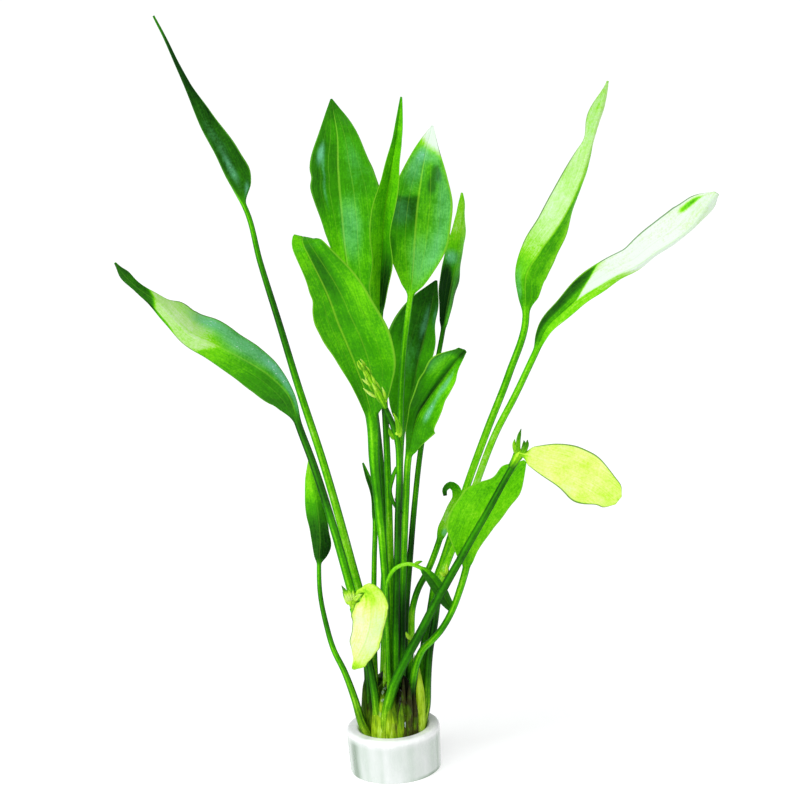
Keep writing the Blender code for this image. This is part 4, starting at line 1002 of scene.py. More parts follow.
# %% Plantlet leaves
leaf("plantlet_leaf_right", "pale_leaf",
     petiole=[(45.4, -20.8, 112.8), (46.2, -20.9, 112.7)],
     blade=[(47.2, -21.1, 112.5), (55.0, -22.2, 109.7), (59.0, -23, 108.6), (63.4, -24, 106.7),
            (67.6, -25.2, 104.4), (72.0, -26.2, 101.2), (76.4, -26.6, 97)],
     left=[2.0, 5.0, 7.1, 7.6, 7.1, 4.9, 1.2], right=[2.2, 4.0, 6.0, 8.0, 8.8, 6.2, 1.4],
     turn=[0, 0], fold=[14, 12], radii=[1.0, 0.95, 0.9],
     left_tones=[0.9, 1.0, 0.95, 0.93, 0.93, 0.92],
     right_tones=[0.85, 0.93, 0.95, 0.95, 0.9, 0.88],
     stalk_tones=[0.0, 0.3],
     patches=[(0.2, 0.85, 0.3, 0.12, -0.08)],
     notches=[(-1, 0.93, -1.0, 0.06), (1, 0.93, -1.4, 0.06)],
     ripple=0.6, waves=2.5, veins=0.25)
leaf("plantlet_leaf_left", "pale_leaf",
     petiole=[(-8.2, -14.6, 66.9), (-7.6, -15.2, 68.2)],
     blade=[(-6.9, -16, 68.8), (-5.3, -17.6, 69.4), (-3.9, -19, 67.4), (-3.9, -20, 63),
            (-4.9, -20.2, 57.5), (-6.8, -19.6, 52), (-9.3, -18.8, 47.2), (-11.5, -18, 42.8)],
     left=[0.9, 4.2, 5.4, 5.0, 4.8, 5.0, 3.8, 0.6], right=[0.9, 4.0, 6.2, 6.4, 5.9, 4.8, 2.4, 0.3],
     turn=[0, 0, 6], fold=[-10, -16, -10], radii=[0.9, 0.85, 0.8],
     left_tones=[0.7, 0.9, 1.15, 1.25, 1.25, 1.1, 0.8],
     right_tones=[0.6, 0.85, 1.15, 1.25, 1.25, 1.15, 0.8],
     stalk_tones=[0.5, 0.7],
     patches=[(0.0, 0.15, 0.25, 0.12, -0.3), (-1.0, 0.5, 0.22, 0.5, -0.4, 2),
              (1.0, 0.3, 0.2, 0.3, -0.3, 2), (0.0, 0.97, 1.2, 0.07, -0.35, 2),
              (0.35, 0.1, 0.1, 0.2, -0.3, 2)],
     notches=[(-1, 0.62, 0.6, 0.04), (-1, 0.3, 0.4, 0.03), (-1, 0.93, -1.0, 0.04),
              (1, 0.90, 0.6, 0.05)],
     ripple=0.8, waves=3.0, veins=0.9)

# %% [markdown]
# Flower stalks.
# These are round and bare, with fine ribs, so they use the same skin as a leaf's stalk: a round
# section carried along a route, with the radius read from even steps.

# %% Flower stalks
BARE_FIBRE_WIDTH = 1.3
BARE_FIBRE_SHIFT = 2
bare_angle = even_angles(28)


def round_skin(route, radii, tones, ribs=RIBS, depth=RIB_DEPTH, spacing=1.0, from_crown=False):
    """A round, ribbed skin along a route: radius times one plus a cosine of the angle."""
    route = np.array(route, float)
    length = along(route)[-1]
    where = np.linspace(0, length, max(6, round(length / spacing)))
    s = where / length
    rings = round_sections(spread(radii, s), bare_angle, ribs, depth)
    flat = np.stack(np.broadcast_arrays(np.cos(bare_angle) * BARE_FIBRE_WIDTH, where[:, None],
                                        BARE_FIBRE_SHIFT * (bare_angle > math.pi)), axis=-1)
    return skin(placed(rings, *frames(route, where)), tone=on_line(stalk_tone(tones, s, bare_angle)),
                bloom=0, across=0, blade=0, veined=0, under=0,
                foot=from_crown * bell(where / FOOT_REACH)[:, None], flat=flat)


def stalk(name, route, radii, tones):
    """A flower stalk as a piece, led down into the crown."""
    route = np.array(route, float)
    route[0, 2] = CROWN_Z
    made = round_skin(route, radii, tones, from_crown=True)
    piece(name, flower_stalk, [made], replaces=[name])


stalk("flower_stalk_right",
      [(-2.4, -7.6, START), (-2.2, -8.5, 21), (0.6, -10.4, 31.6), (6.6, -12.6, 44.2), (11.0, -13.4, 51.8),
       (15.7, -14.2, 60.4), (20.4, -15, 68.6), (25.1, -15.6, 76.4), (29.7, -16.2, 84.1),
       (34.6, -17.2, 92.2), (39.8, -18.6, 101.4), (43.4, -19.6, 107.6), (45.0, -20.1, 110.2)],
      [1.9, 1.6, 1.45, 1.2, 1.0],
      [0.6, 0.4, 0.0, -0.35, -0.55, -0.5, -0.4, -0.45, -0.25, -0.55, -0.3])
stalk("flower_stalk_left",
      [(-4.9, -5.8, START), (-4.9, -7, 21), (-5.5, -9, 34.5), (-6.9, -10.6, 46), (-8.9, -11.9, 56.5),
       (-10.0, -12.4, 61.5)],
      [1.8, 1.4, 1.3, 1.2],
      [0.6, 0.5, 0.2, -0.4, -0.7, 0.3, 0.6])
stalk("flower_stalk_centre",
      [(1.6, -4.4, START), (1.7, -5.2, 25.5), (2.6, -6, 43), (4.0, -7, 61), (5.5, -9, 79),
       (6.7, -10.8, 93.5), (7.9, -13, 107.5), (8.0, -16, 118.5), (7.0, -17.6, 124), (4.9, -19.4, 130.5)],
      [1.3, 1.15, 1.1, 1.0, 1.0],
      [-0.3, -0.2, -0.2, 0.0, -0.7, -0.5, -0.6, -0.65, 0.0, -0.1, -0.7])

# %% [markdown]
# Bracts and buds.
# A bract is a small pointed scale. Each is a short blade along a bowed line between two points,
# so the leaf's own section function makes it, and a tuft is several of them joined in one piece.

# %% Bracts
BRACT_STATIONS = 22
BRACT_BREADTH = 0.3
BRACT_FULLNESS = 1.75
BRACT_CREASE = 0.5
BRACT_RIPPLE = 0.1
BRACT_WAVES = 2.0


def bract_skin(start, tip, bow, half_width, tones, fold=35.0, age=0.0):
    """A pointed scale from start to tip. Its line is the straight one plus bow times four s(1 - s),
    and its half width rises fast and falls slowly: s to 0.6 times (1 - s) to 0.8, scaled."""
    s = np.linspace(0.0, 1.0, 9)[:, None]
    route = np.array(start) * (1 - s) + np.array(tip) * s + np.array(bow) * 4 * s * (1 - s)
    length = along(route)[-1]
    where = np.linspace(0, length, BRACT_STATIONS)
    v = where / length
    half = np.maximum(half_width * BRACT_FULLNESS * (v + 0.02) ** 0.6 * (1 - v) ** 0.8, 0.05)
    level = np.zeros(BRACT_STATIONS)
    rings = blade_sections(v, half, half, level, level + math.radians(fold), BRACT_CREASE, BRACT_RIPPLE,
                           BRACT_WAVES)
    # A scale thins towards both its ends, where it is narrow.
    middle = rings.mean(axis=1, keepdims=True)
    rings = middle + (rings - middle) * np.minimum(1.0, 0.35 + half / 0.6)[:, None, None]
    flat = np.stack(np.broadcast_arrays(ring_across * half[:, None], where[:, None], 0.0), axis=-1)
    return skin(placed(rings, *frames(route, where)), tone=on_line(spread(tones, v)[:, None]), bloom=0,
                across=ring_across, blade=BRACT_BREADTH, veined=BRACT_BREADTH, under=0, foot=0, flat=flat,
                age=age)


def bud_skin(centre, way, length, radius, tones):
    """A closed bud: a spindle along way, whose radius rises to the middle and falls again."""
    centre, way = np.array(centre, float), np.array(way, float)
    way /= np.linalg.norm(way)
    ends = [centre - way * length / 2, centre, centre + way * length / 2]
    radii = [share * radius for share in (0.15, 0.8, 1.0, 0.7, 0.1)]
    return round_skin(ends, radii, tones, ribs=3, depth=0.12, spacing=0.3)


piece("bract_tuft_right", bract, [
    bud_skin((45.7, -20.6, 112.0), (0.5, -0.1, 0.9), 5.4, 1.6, (0.2, 0.4, 0.2)),
    bract_skin((46.0, -21.0, 112.5), (47.2, -21.0, 121.0), (-0.6, -0.5, 0.0), 0.85, (0.2, 0.0, -0.8)),
    bract_skin((45.6, -20.4, 112.0), (45.0, -20.8, 117.6), (-0.5, 0.0, 0.3), 0.8, (0.4, 0.5, 0.2)),
    bract_skin((46.6, -21.2, 112.6), (48.9, -21.6, 117.4), (0.6, -0.3, 0.0), 0.9, (0.1, -0.2, -0.8)),
    bract_skin((46.6, -20.2, 112.0), (47.9, -19.6, 116.6), (0.5, 0.4, 0.0), 0.9, (0.3, 0.1, -0.3)),
    bract_skin((46.9, -20.9, 112.4), (47.8, -21.3, 115.8), (0.3, -0.3, 0.0), 0.8, (0.0, 0.2, -0.3)),
    round_skin([(43.4, -19.7, 108.4), (44.6, -20.2, 110.2), (45.6, -20.6, 112.2)], [1.1, 1.4, 1.6],
               (-0.5, 0.0, 0.3)),
], replaces=["bract_tuft_right"])
piece("bract_tuft_left", bract, [
    bud_skin((-10.5, -12.8, 64.6), (-0.25, -0.05, 1.0), 6.0, 1.7, (0.3, 0.6, 0.8)),
    bract_skin((-11.0, -13.2, 63.4), (-13.1, -13.4, 70.0), (0.2, -0.4, 0.2), 0.75, (0.6, 0.9, -1.0)),
    bract_skin((-10.7, -13.6, 63.8), (-12.3, -14.2, 69.4), (0.1, -0.6, 0.2), 0.8, (0.6, 1.0, -0.6)),
    bract_skin((-10.4, -13.4, 64.0), (-11.1, -14.2, 69.2), (0.1, -0.6, 0.2), 0.8, (0.6, 0.9, 0.0)),
    bract_skin((-10.0, -13.2, 64.0), (-9.6, -14.0, 68.4), (0.2, -0.5, 0.2), 0.8, (0.6, 0.9, 0.4)),
    bract_skin((-11.4, -12.6, 63.0), (-12.9, -12.4, 67.4), (0.0, 0.2, 0.2), 0.6, (0.5, 0.7, -1.0)),
    round_skin([(-9.3, -12.3, 60.0), (-9.7, -12.5, 62.4), (-10.1, -12.7, 64.6)], [1.2, 1.4, 1.5],
               (0.0, 0.4, 0.6)),
    bract_skin((-9.4, -14.6, 64.8), (-6.6, -16.4, 67.6), (0, -0.4, 0.6), 1.0, (0.6, 0.9, 0.9)),
], replaces=["bract_tuft_left"])

# %% [markdown]
# The bud cluster in the middle.
# Its bracts stand in whorls of three along the stalk's tip and get smaller upwards, so a loop
# over the whorls places them round the axis. A few loose bracts and buds are added one by one.

# %% Bud cluster
CLUSTER = np.array([(5.1, -19.4, 130.6), (4.5, -19.9, 132.4), (3.2, -20.8, 135.8), (1.4, -22, 140.0),
                    (-0.2, -23.4, 144), (-2.2, -25, 148.2)])
WHORLS = 5
FIRST_WHORL = 0.10
WHORL_SPACING = 0.17
WHORL_SHRINKING = 0.07
WHORL_TURN = 0.21
FIRST_TURN = 0.4
WHORL_BRACT_LENGTH = 5.6
WHORL_BRACT_HALF = 0.46
cluster_length = along(CLUSTER)[-1]
cluster_skins = [
    round_skin(CLUSTER, [0.9, 1.1, 1.0, 0.8, 0.5, 0.15], (-0.2, 0.2, 0.1, 0.3, 0.5), spacing=0.6)]
for whorl in range(WHORLS):
    at = np.array([(FIRST_WHORL + WHORL_SPACING * whorl) * cluster_length])
    middle, side_way, face_way = (a[0] for a in frames(CLUSTER, at))
    ahead_way = np.cross(face_way, side_way)
    size = 1.0 - WHORL_SHRINKING * whorl
    for k in range(3):
        turn_by = 2 * math.pi * (k / 3 + WHORL_TURN * whorl) + FIRST_TURN
        out_way = side_way * math.cos(turn_by) + face_way * math.sin(turn_by)
        foot = middle + out_way * 0.5
        # One bract of each whorl spreads further out than the other two.
        out_by = 1.0 + 0.9 * (k == whorl % 3)
        tip = middle + out_way * out_by * size + ahead_way * WHORL_BRACT_LENGTH * size
        shade = (0.1, 0.6 - 0.4 * (k == 1), 0.95 - 0.4 * (k == 2))
        cluster_skins.append(bract_skin(foot, tip, out_way * 0.35, WHORL_BRACT_HALF * size, shade))
cluster_skins += [
    bract_skin((2.9, -20.6, 134.6), (-1.4, -22.0, 138.2), (0.2, -0.2, -0.5), 0.45, (0.8, 0.9, 1.0)),
    bract_skin((1.6, -21.6, 138.8), (-1.6, -23.0, 141.6), (0.2, -0.2, -0.4), 0.4, (0.6, 0.8, 0.9)),
    bud_skin((4.7, -19.9, 132.8), (-0.3, -0.3, 1.0), 2.6, 0.95, (0.7, 1.2, 0.8)),
    bract_skin((8.2, -17.2, 120.4), (7.4, -18.6, 128.4), (0.7, -0.5, 0.0), 0.8, (0.5, 0.2, 0.5)),
    bract_skin((8.6, -16.8, 119.6), (8.6, -17.6, 125.6), (0.5, -0.5, 0.0), 0.8, (0.6, 0.3, 0.1)),
    bract_skin((7.4, -16.6, 119.0), (5.8, -17.2, 123.4), (-0.4, -0.5, 0.0), 0.8, (0.1, 0.1, -0.3)),
    bud_skin((8.2, -17.1, 121.4), (0.1, -0.1, 1.0), 2.2, 1.0, (0.6, 1.2, 0.6)),
]
piece("bud_cluster_centre", bract, cluster_skins, replaces=["bud_cluster_centre"])

# %% [markdown]
# Small spurs.
# A thin offshoot curls out of the middle stalk, and small pointed spurs stand where an old leaf
# or bract has dropped.

# %% Spurs
piece("curled_offshoot", flower_stalk, [
    round_skin([(7.2, -9.6, 107.4), (5.6, -9.4, 103.6), (4.6, -9.6, 99.6), (5.4, -10.0, 95.8),
                (7.0, -10.2, 92.6)], [0.5, 0.75, 0.7, 0.6, 0.5], (0.0, -0.1, -0.3, -0.5), spacing=0.5),
    round_skin([(6.4, -10.0, 97.2), (6.9, -10.6, 94.6), (8.2, -10.8, 92.2)], [0.6, 0.5, 0.12],
               (-0.6, -0.7), spacing=0.4),
])
piece("spurs", bract, [
    bract_skin((20.6, -13.6, 70.6), (18.4, -14.2, 72.6), (0, -0.2, 0.3), 0.7, (0.3, 0.6, 0.5)),
    bract_skin((20.8, -13.6, 70.8), (21.2, -14.2, 75.2), (0, -0.2, 0), 0.7, (0.3, 0.6, 0.6)),
    bract_skin((21.2, -13.4, 71.2), (23.6, -14.0, 72.8), (0, -0.2, 0.3), 0.7, (0.3, 0.6, 0.5)),
    bract_skin((8.0, -9.6, 48.4), (6.5, -10.4, 51.4), (-0.3, -0.2, 0), 0.6, (0.5, 0.6, 0.3)),
    bract_skin((10.8, -11.6, 74.8), (13.4, -11.8, 75.8), (0, 0, 0.1), 0.5, (0.5, 0.2, -0.2)),
])

# %% [markdown]
# The ceramic ring.
# The pot is a plain turned ring in white glaze. A profile carried round the axis makes it, with
# a rim and a foot a little out of true, as cast ware is. The waves that put it out of true only
# pull it in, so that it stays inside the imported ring.

# %% Ring shape
RING_HEIGHT = 15.2
RING_TOP_RADIUS = 15.45
RING_FOOT_RADIUS = 15.05
RING_BORE_RADIUS = 11.2
RIM_ROUNDING = 1.3
FOOT_ROUNDING = 0.5
RING_TURNS = 256
OVAL, FIVE_LOBES = 0.0025, 0.0015
LEAN, THREE_DIPS = 0.004, 0.002


def arc(centre_r, centre_z, radius, start, stop, steps=10):
    """Points of an arc in the profile plane, angles in degrees from outward to up."""
    angle = np.radians(np.linspace(start, stop, steps))
    return np.stack([centre_r + radius * np.cos(angle), centre_z + radius * np.sin(angle)], axis=-1)


def line(start, stop, steps=14):
    """Points between two points of the profile, without its ends."""
    return np.linspace(start, stop, steps)[1:-1]


rim_out = arc(RING_TOP_RADIUS - RIM_ROUNDING, RING_HEIGHT - RIM_ROUNDING, RIM_ROUNDING, 90, 0)
foot_out = arc(RING_FOOT_RADIUS - FOOT_ROUNDING, FOOT_ROUNDING, FOOT_ROUNDING, 0, -90)
foot_in = arc(RING_BORE_RADIUS + FOOT_ROUNDING, FOOT_ROUNDING, FOOT_ROUNDING, -90, -180)
rim_in = arc(RING_BORE_RADIUS + RIM_ROUNDING, RING_HEIGHT - RIM_ROUNDING, RIM_ROUNDING, 180, 90)
profile = np.concatenate([
    rim_out, line(rim_out[-1], foot_out[0]), foot_out, line(foot_out[-1], foot_in[0], 6),
    foot_in, line(foot_in[-1], rim_in[0]), rim_in, line(rim_in[-1], rim_out[0], 4)])
theta = 2 * math.pi * np.arange(RING_TURNS) / RING_TURNS
out_of_true = 1 - (OVAL + FIVE_LOBES) + OVAL * np.cos(2 * theta + 0.7) + FIVE_LOBES * np.cos(5 * theta)
sag = 1 - (LEAN + THREE_DIPS) + LEAN * np.cos(theta + 2.0) + THREE_DIPS * np.cos(3 * theta)
above_foot = profile[:, 1] > 2.0
ring_r = profile[None, :, 0] * out_of_true[:, None]
ring_z = profile[None, :, 1] * np.where(above_foot, sag[:, None], 1.0)
ring_points = np.stack([ring_r * np.cos(theta)[:, None], ring_r * np.sin(theta)[:, None], ring_z], axis=-1)
print("ring, mm across and high:", round(2 * ring_r.max(), 1), round(ring_z.max(), 1))


def closed_loop(grid, **marks):
    """Points and faces of a surface that closes on itself both ways, such as a ring."""
    turns, size = grid.shape[:2]
    a = (np.arange(turns) * size)[:, None]
    b = ((np.arange(turns) + 1) % turns * size)[:, None]
    here = np.arange(size)
    after = (here + 1) % size
    faces = np.stack([a + here, a + after, b + after, b + here], axis=-1).reshape(-1, 4)
    points = grid.reshape(-1, 3)
    corner_a, corner_b, corner_c = (points[f] for f in faces[:, :3].T)
    if (corner_a * np.cross(corner_b, corner_c)).sum() < 0:
        faces = faces[:, ::-1]
    return points, [faces], {name: values.reshape(-1, 1) for name, values in marks.items()}


# %% [markdown]
# The ring's glaze.
# The glaze is glossy, faintly grey-green in clouds, with a few pinholes. Its colour also holds
# painted shade: grey-green bands of painted shade and reflection run down the wall, the wall
# below the rim is painted a little grey while the rim stays white, and the bore gets little of
# it. A painted shadow lies in a thin line at the foot, on the right.

# %% Ring glaze
# Grey-green bands of painted shade and reflection down the wall: angle from the right in degrees, reach and
# strength.
SHADE_BANDS = [(-176, 6, 1.0), (-150, 11, 0.75), (-128, 5, 0.15), (-108, 4, 0.2), (-70, 5, 0.15),
         (-35, 7, 0.18), (-22, 5, 0.4), (-3, 9, 0.25), (38, 14, 0.25), (88, 20, 0.2), (140, 12, 0.25)]
# Painted shade over the wall, less in the bore, fading out below the rim, which stays white: its amount,
# the bore's share, the rim's white band and the fade, in millimetres.
WALL_SHADE = 0.27
BORE_SHADE = 0.15
UNSHADED_RIM = 0.6
RIM_FADE = 3.0
# A painted shadow along the foot, on the right: its angle, spread and strength, and its height and reach.
FOOT_SHADOW_ANGLE, FOOT_SHADOW_SPREAD, FOOT_SHADOW_STRENGTH = -38, 24, 1.3
FOOT_SHADOW_HEIGHT, FOOT_SHADOW_REACH = 0.25, 0.3


def turned_from(at):
    """Degrees round the ring from an angle, from -180 to 180."""
    return (np.degrees(theta)[:, None] - at + 180) % 360 - 180


def glaze_finish():
    """White glaze: painted shade from the shade mark, faint grey-green clouds, a satin gloss that varies,
    pinholes and dimples.
    """
    made, tree, shader, place = new_finish("white_glaze")
    clouds = noise(tree, stretched(tree, place, (1, 1, 0.3)), 160, 4, 0.6)
    shade = plus(tree, mark(tree, "shade"), centred(tree, clouds), 0.7)
    colour = ramp(tree, shade, [(0.0, (0.94, 0.95, 0.94)), (0.2, (0.70, 0.73, 0.71)),
                                (0.55, (0.50, 0.58, 0.51)), (1.0, (0.22, 0.30, 0.22))])
    specks = noise(tree, place, 900, 2, 0.5)
    colour = blend(tree, ramp(tree, specks, [(0.0, 0.5), (0.27, 0.0)]), colour, (0.5, 0.52, 0.45, 1))
    height = plus(tree, times(tree, specks, 0.3), noise(tree, place, 260, 3, 0.5), 1.0)
    link_surface(tree, shader, colour, plus(tree, 0.14, clouds, 0.25), height, 0.25, 0.4 * MM)
    shader.inputs["Coat Weight"].default_value = 0.5
    shader.inputs["Coat Roughness"].default_value = 0.08
    return made


# Painted shade: the bands over the wall's painted grey, less in the bore and none at the rim.
band_shade = sum(amount * bell(turned_from(at) / reach) for at, reach, amount in SHADE_BANDS)
below_rim = ease((RING_HEIGHT - UNSHADED_RIM - ring_z) / RIM_FADE)
on_wall = np.where(ring_r < RING_BORE_RADIUS + 0.6, BORE_SHADE, 1.0)
ring_shade = np.clip(WALL_SHADE + band_shade, 0, 1) * below_rim * on_wall
# The painted shadow at the foot, on the outside of the ring.
foot_shadow = bell((ring_z - FOOT_SHADOW_HEIGHT) / FOOT_SHADOW_REACH) * bell(turned_from(FOOT_SHADOW_ANGLE) / FOOT_SHADOW_SPREAD)
ring_shade = ring_shade + FOOT_SHADOW_STRENGTH * foot_shadow * (ring_r > 12)
piece("ceramic_ring", glaze_finish(), [closed_loop(ring_points, shade=ring_shade)],
      replaces=["ceramic_ring"])

# %% [markdown]
# The rootstock.
# The leaves grow from a short knobbly rhizome, packed round with fine roots that fill the ring.
# The lump is a turned shape pushed in and out by a few waves.

# %% Rootstock
ROOT_RADIUS = RING_BORE_RADIUS - 0.3
ROOT_TOP = 8.8
ROOT_RINGS = 40
ROOT_POINTS = 120
# The lump's profile: share of the way up its surface, share of its radius, and height.
ROOT_PROFILE = np.array([(0, 0.9, 0.0), (0.02, 0.985, 0.15), (0.5, 0.985, 5.6), (0.62, 0.93, 7.2),
                         (1.0, 0.03, ROOT_TOP - 0.1)])
KNOB_DEPTH = 0.012
KNOB_HEIGHT = 0.7


def root_finish():
    """Damp, fibrous brown with olive patches."""
    made, tree, shader, place = new_finish("damp_roots")
    strands = noise(tree, stretched(tree, place, (1, 1, 0.2)), 900, 5, 0.7)
    patches = noise(tree, place, 170, 3, 0.5)
    brown = ramp(tree, strands, [(0.3, (0.012, 0.010, 0.004)), (0.5, (0.07, 0.055, 0.018)),
                                 (0.75, (0.26, 0.22, 0.08))])
    olive = ramp(tree, strands, [(0.3, (0.03, 0.06, 0.006)), (0.7, (0.25, 0.36, 0.05))])
    colour = blend(tree, ramp(tree, patches, [(0.45, 0.0), (0.62, 0.85)]), brown, olive)
    link_surface(tree, shader, colour, plus(tree, 0.3, strands, 0.5), strands, 0.8, 0.5 * MM)
    shader.inputs["Specular IOR Level"].default_value = 0.06
    return made


damp_roots = root_finish()
root_s = np.linspace(0, 1, ROOT_RINGS)[:, None]
lump_r = ROOT_RADIUS * np.interp(root_s, ROOT_PROFILE[:, 0], ROOT_PROFILE[:, 1])
lump_z = np.interp(root_s, ROOT_PROFILE[:, 0], ROOT_PROFILE[:, 2])
root_angle = 2 * math.pi * np.arange(ROOT_POINTS) / ROOT_POINTS
knobs = 0.35 * np.cos(7 * root_angle + 9 * root_s) + 0.25 * np.cos(13 * root_angle - 17 * root_s)
root_r = lump_r - KNOB_DEPTH * lump_r * (2 + knobs * 2)
root_z = lump_z + KNOB_HEIGHT * (knobs - 0.6) * ease((root_s - 0.5) / 0.2)
root_rings = np.stack([root_r * np.cos(root_angle), root_r * np.sin(root_angle), root_z], axis=-1)
piece("rootstock", damp_roots, [skin(root_rings)], replaces=["rootstock"])

# %% [markdown]
# Roots and old fibres.
# Thin roots lie over the lump and out to the ring, and fibres of old leaf stalks still stand at
# the front. About a hundred thin tubes with seeded wandering routes are enough, since only their
# tops show.

# %% Roots and old fibres
ROOTS = 70
OLD_FIBRES = 34
ROOT_STEPS = 16
ROOT_TAPER = 0.67
draw = np.random.default_rng(7)
thin_angle = 2 * math.pi * np.arange(7) / 7


def thin_skin(route, radius):
    """A thin tube whose radius shrinks to a third at its end."""
    where = np.linspace(0, along(route)[-1], ROOT_STEPS)
    centre, side, face = frames(route, where)
    shrunk = (radius * (1 - ROOT_TAPER * np.linspace(0, 1, ROOT_STEPS)))[:, None, None]
    ring = np.cos(thin_angle)[:, None] * side[:, None] + np.sin(thin_angle)[:, None] * face[:, None]
    return skin(centre[:, None] + ring * shrunk)


def round_axis(radii, turns, heights):
    """Points from their distance and angle about the ring's axis, and their height."""
    return np.stack([radii * np.cos(turns), radii * np.sin(turns), heights], axis=-1)


def root_route():
    """A root from the crown out towards the bore, wandering a little round the axis."""
    turn = draw.uniform(0, 2 * math.pi)
    start_r = draw.uniform(3.0, 7.5)
    turns = turn + np.cumsum(draw.normal(0, 0.16, 6))
    radii = np.linspace(start_r, draw.uniform(9.0, 10.4), 6)
    heights = np.linspace(draw.uniform(8.8, 10.0), draw.uniform(7.4, 8.8), 6) + draw.normal(0, 0.25, 6)
    return round_axis(radii, turns, heights)


def fibre_route():
    """An old leaf-base fibre that stands up against the stalks, at the front right."""
    turn = draw.uniform(-1.5, -0.35)
    radius = draw.uniform(7.0, 8.6)
    heights = np.linspace(8.2, draw.uniform(16.0, 29.0), 5)
    turns = turn + np.cumsum(draw.normal(0, 0.035, 5))
    radii = np.linspace(radius, radius - draw.uniform(0.3, 1.6), 5)
    return round_axis(radii, turns, heights)


piece("roots", damp_roots,
      [thin_skin(root_route(), draw.uniform(0.18, 0.36)) for _ in range(ROOTS)])
piece("old_fibres", damp_roots,
      [thin_skin(fibre_route(), draw.uniform(0.16, 0.32)) for _ in range(OLD_FIBRES)])

# %% [markdown]
# The packed crown's finish.
# The feet of the stalks are flat and overlap, so above the ring they close up into one ribbed
# mass: lime where they are fresh, brown and fibrous where old leaves have died, and wet in a few
# places, which have painted glints. Streaks run up it, so its noise is stretched along the height.

# %% Crown finish
FRESH_FEET = colour_line((-1.0, (0.01, 0.03, 0.004)), (-0.3, (0.05, 0.13, 0.004)),
                         (0.2, (0.17, 0.34, 0.004)), (0.6, (0.34, 0.55, 0.01)),
                         (1.0, (0.46, 0.71, 0.06)), (1.4, (0.70, 0.80, 0.40)))
OLD_FEET = colour_line((-0.8, (0.006, 0.007, 0.003)), (-0.1, (0.028, 0.028, 0.006)),
                       (0.5, (0.09, 0.11, 0.014)), (1.0, (0.24, 0.34, 0.03)))
STRAND_TONE = 0.8
BLOT_TONE = 0.6
BLOT_AGE = 1.6


def crown_finish():
    """Overlapping feet of stalks: streaks along them, brown where age is near one, painted glint specks
    where they are wet.
    """
    made, tree, shader, place = new_finish("packed_feet")
    strands = noise(tree, stretched(tree, place, (1, 1, 0.14)), 1500, 4, 0.7)
    blots = noise(tree, stretched(tree, place, (1, 1, 0.5)), 380, 4, 0.65)
    tone = plus(tree, mark(tree, "tone"), centred(tree, strands), STRAND_TONE)
    tone = plus(tree, tone, centred(tree, blots), BLOT_TONE)
    browned = plus(tree, mark(tree, "age"), centred(tree, blots), BLOT_AGE)
    browned = ramp(tree, browned, [(0.3, 0.0), (0.6, 1.0)])
    colour = blend(tree, browned, ramp(tree, tone, FRESH_FEET), ramp(tree, tone, OLD_FEET))
    # Painted glints: white specks where the feet are wet.
    specks = noise(tree, stretched(tree, place, (1, 1, 0.5)), 900, 2, 0.5)
    specks = ramp(tree, specks, [(0.55, 0.0), (0.60, 1.0)])
    colour = blend(tree, times(tree, specks, mark(tree, "wet")), colour, GLINT)
    link_surface(tree, shader, colour, plus(tree, 0.25, strands, 0.4), strands, 0.8, 0.4 * MM)
    shader.inputs["Specular IOR Level"].default_value = 0.06
    return made


packed_feet = crown_finish()
print("colours of the crown's feet, fresh and old:", len(FRESH_FEET), len(OLD_FEET))

# %% [markdown]
# The packed crown.
# One surface round the axis makes it, with a dome for each foot and a scalloped top that the
# stalks come out of. What changes round it, such as its age, is a sum of humps: each has its
# amount, its angle from the right in degrees, and its reach.

# %% Packed crown
FEET = 15
CROWN_TURNS = 336
CROWN_ROWS = 56
CROWN_MIDDLE = (0.8, -0.4)
CROWN_FOOT_Z = 8.4
CROWN_TOP = 30.0
CROWN_TWIST = 0.10
DOME_DEPTH = 0.35
DOME_HEIGHT = 2.5
AGED = [(1.0, -62, 27), (0.5, -168, 10), (0.6, 70, 40)]
LIGHTER = [(0.55, -120, 24), (-0.5, -166, 14), (0.5, -18, 10)]
PINCHED = [(0.9, -150, 13), (0.8, -8, 22)]
round_crown = 2 * math.pi * np.arange(CROWN_TURNS) / CROWN_TURNS - math.pi


def humps(table):
    """The sum of humps round the crown: amount times a bell of the angle from at over the reach."""
    return sum(amount * bell((np.degrees(round_crown) - at) / reach) for amount, at, reach in table)


foot_place = FEET * (round_crown / (2 * math.pi) + 0.010 * np.sin(3 * round_crown) + 0.5)
foot_number = np.floor(foot_place).astype(int) % FEET
foot_dome = 1 - (2 * (foot_place % 1) - 1) ** 2
foot_draw = np.random.default_rng(11)
foot_high = foot_draw.uniform(0, 4, FEET)[foot_number]
foot_out = foot_draw.uniform(-0.2, 0.3, FEET)[foot_number]
foot_tone = foot_draw.uniform(-0.18, 0.18, FEET)[foot_number]

crown_s = np.linspace(0, 1, CROWN_ROWS)[:, None]
crown_r = np.interp(crown_s, [0, 0.35, 0.75, 0.9, 1.0], [9.9, 9.7, 9.0, 7.9, 5.0])
crown_r = crown_r + (DOME_DEPTH + foot_out) * foot_dome * ease((1.06 - crown_s) / 0.2) - humps(PINCHED)
crown_top = CROWN_TOP - DOME_HEIGHT + (DOME_HEIGHT + foot_high) * foot_dome
crown_z = CROWN_FOOT_Z + (crown_top - CROWN_FOOT_Z) * crown_s
crown_turned = round_crown + CROWN_TWIST * crown_s
crown_rings = np.stack([CROWN_MIDDLE[0] * crown_s + crown_r * np.cos(crown_turned),
                        CROWN_MIDDLE[1] * crown_s + crown_r * np.sin(crown_turned), crown_z], axis=-1)
# Paler on the domes and at the foot, darker towards the top.
crown_light = humps(LIGHTER) + foot_tone + 0.25 * foot_dome - 0.18 + (0.45 - 1.3 * crown_s**2)
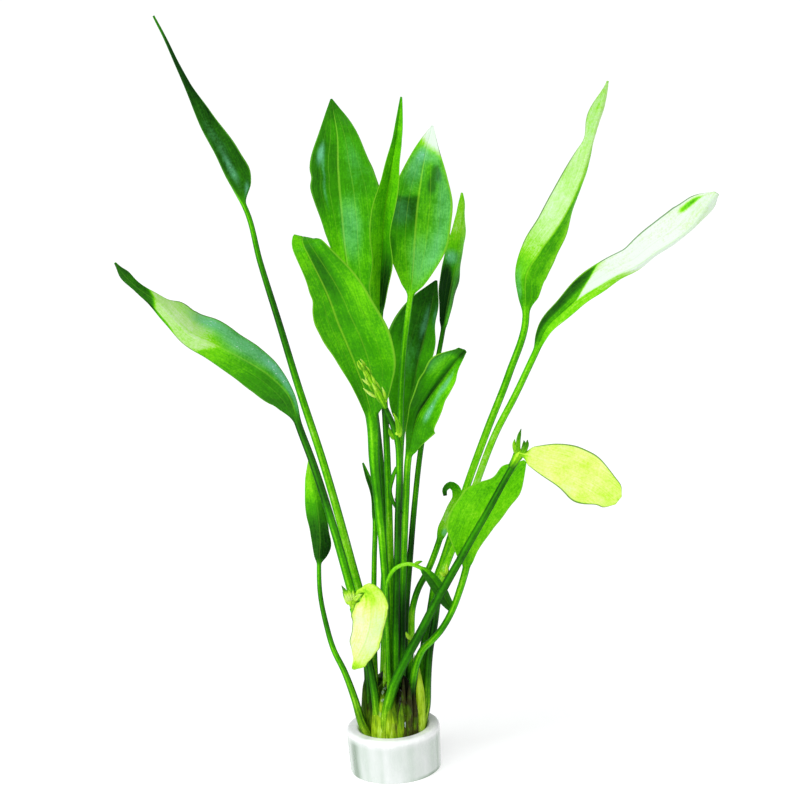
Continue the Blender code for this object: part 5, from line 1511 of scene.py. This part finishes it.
# Painted glints where it is wet: in one narrow strip past mid height, and in another near the top.
crown_wet = humps([(1.0, -72, 5)]) * bell((crown_s - 0.6) / 0.3) + humps([(1.0, -112, 7)]) * crown_s**2
piece("packed_crown", packed_feet,
      [skin(crown_rings, tone=on_line(crown_light), age=humps(AGED), wet=crown_wet)])

# %% [markdown]
# Sheaths at the crown.
# Each old leaf leaves a flat sheath round the crown, yellow-green while it is fresh and brown
# when it has died. They stand close round the stalks and hide the gaps between them.

# %% Sheaths
SHEATH_FOLD = -40
# Foot, tip, half width and, for the green ones, tones from the foot to the tip.
GREEN_SHEATHS = [
    ((-5.6, -8.0, 9.0), (-4.2, -8.2, 34.0), 2.5, (0.5, 0.3, -0.3)),
    ((-1.6, -9.6, 9.0), (-0.6, -10.4, 29.0), 2.6, (0.7, 0.4, -0.2)),
    ((1.6, -9.7, 9.0), (3.4, -10.8, 27.0), 2.0, (0.5, 0.2, -0.5)),
    ((-8.7, -3.6, 9.0), (-8.3, -3.8, 33.0), 2.2, (-0.3, -0.4, -0.5)),
    ((8.5, -5.8, 9.0), (8.8, -7.2, 42.0), 4.0, (0.80, 0.6, 0.5)),
    ((9.5, -0.4, 9.0), (10.6, -0.6, 31.0), 2.1, (1.0, 0.5, -0.2)),
    ((8.9, 4.4, 9.0), (9.6, 4.6, 28.0), 2.3, (0.5, 0.2, -0.3)),
    ((4.6, 8.3, 9.0), (4.9, 8.9, 30.0), 2.6, (0.4, 0.1, -0.4)),
    ((-1.2, 9.2, 9.0), (-1.0, 9.6, 27.0), 2.6, (0.5, 0.2, -0.2)),
    ((-6.6, 6.6, 9.0), (-6.4, 6.8, 29.0), 2.5, (0.3, 0.0, -0.4)),
    ((-9.3, 1.4, 9.0), (-8.9, 1.5, 25.0), 2.2, (0.3, 0.1, -0.3)),
]
BROWN_SHEATHS = [
    ((4.4, -8.9, 9.0), (6.4, -9.6, 33.0), 2.1),
    ((6.7, -7.4, 9.0), (7.6, -8.2, 29.0), 1.9),
    ((2.6, -8.6, 9.0), (4.6, -9.6, 36.0), 1.6),
    ((-5.4, -7.6, 18.0), (-5.2, -6.8, 42.0), 0.8),
    ((8.4, 6.2, 9.0), (8.4, 6.4, 22.0), 1.6),
    ((-4.4, 8.6, 9.0), (-4.0, 8.8, 23.0), 1.6),
]
BROWN_TONES = (0.2, 0.0, -0.5)
BROWN_AGE = 0.6


def outward(start, amount):
    """A step of some millimetres away from the ring's axis, for a sheath to bow by."""
    return np.array([start[0], start[1], 0.0]) * amount / math.hypot(start[0], start[1])


piece("sheaths", packed_feet, [
    bract_skin(start, tip, outward(start, 0.35), half_width, tones, SHEATH_FOLD)
    for start, tip, half_width, tones in GREEN_SHEATHS])
piece("brown_sheaths", packed_feet, [
    bract_skin(start, tip, outward(start, 0.4), half_width, BROWN_TONES, SHEATH_FOLD, BROWN_AGE)
    for start, tip, half_width in BROWN_SHEATHS])
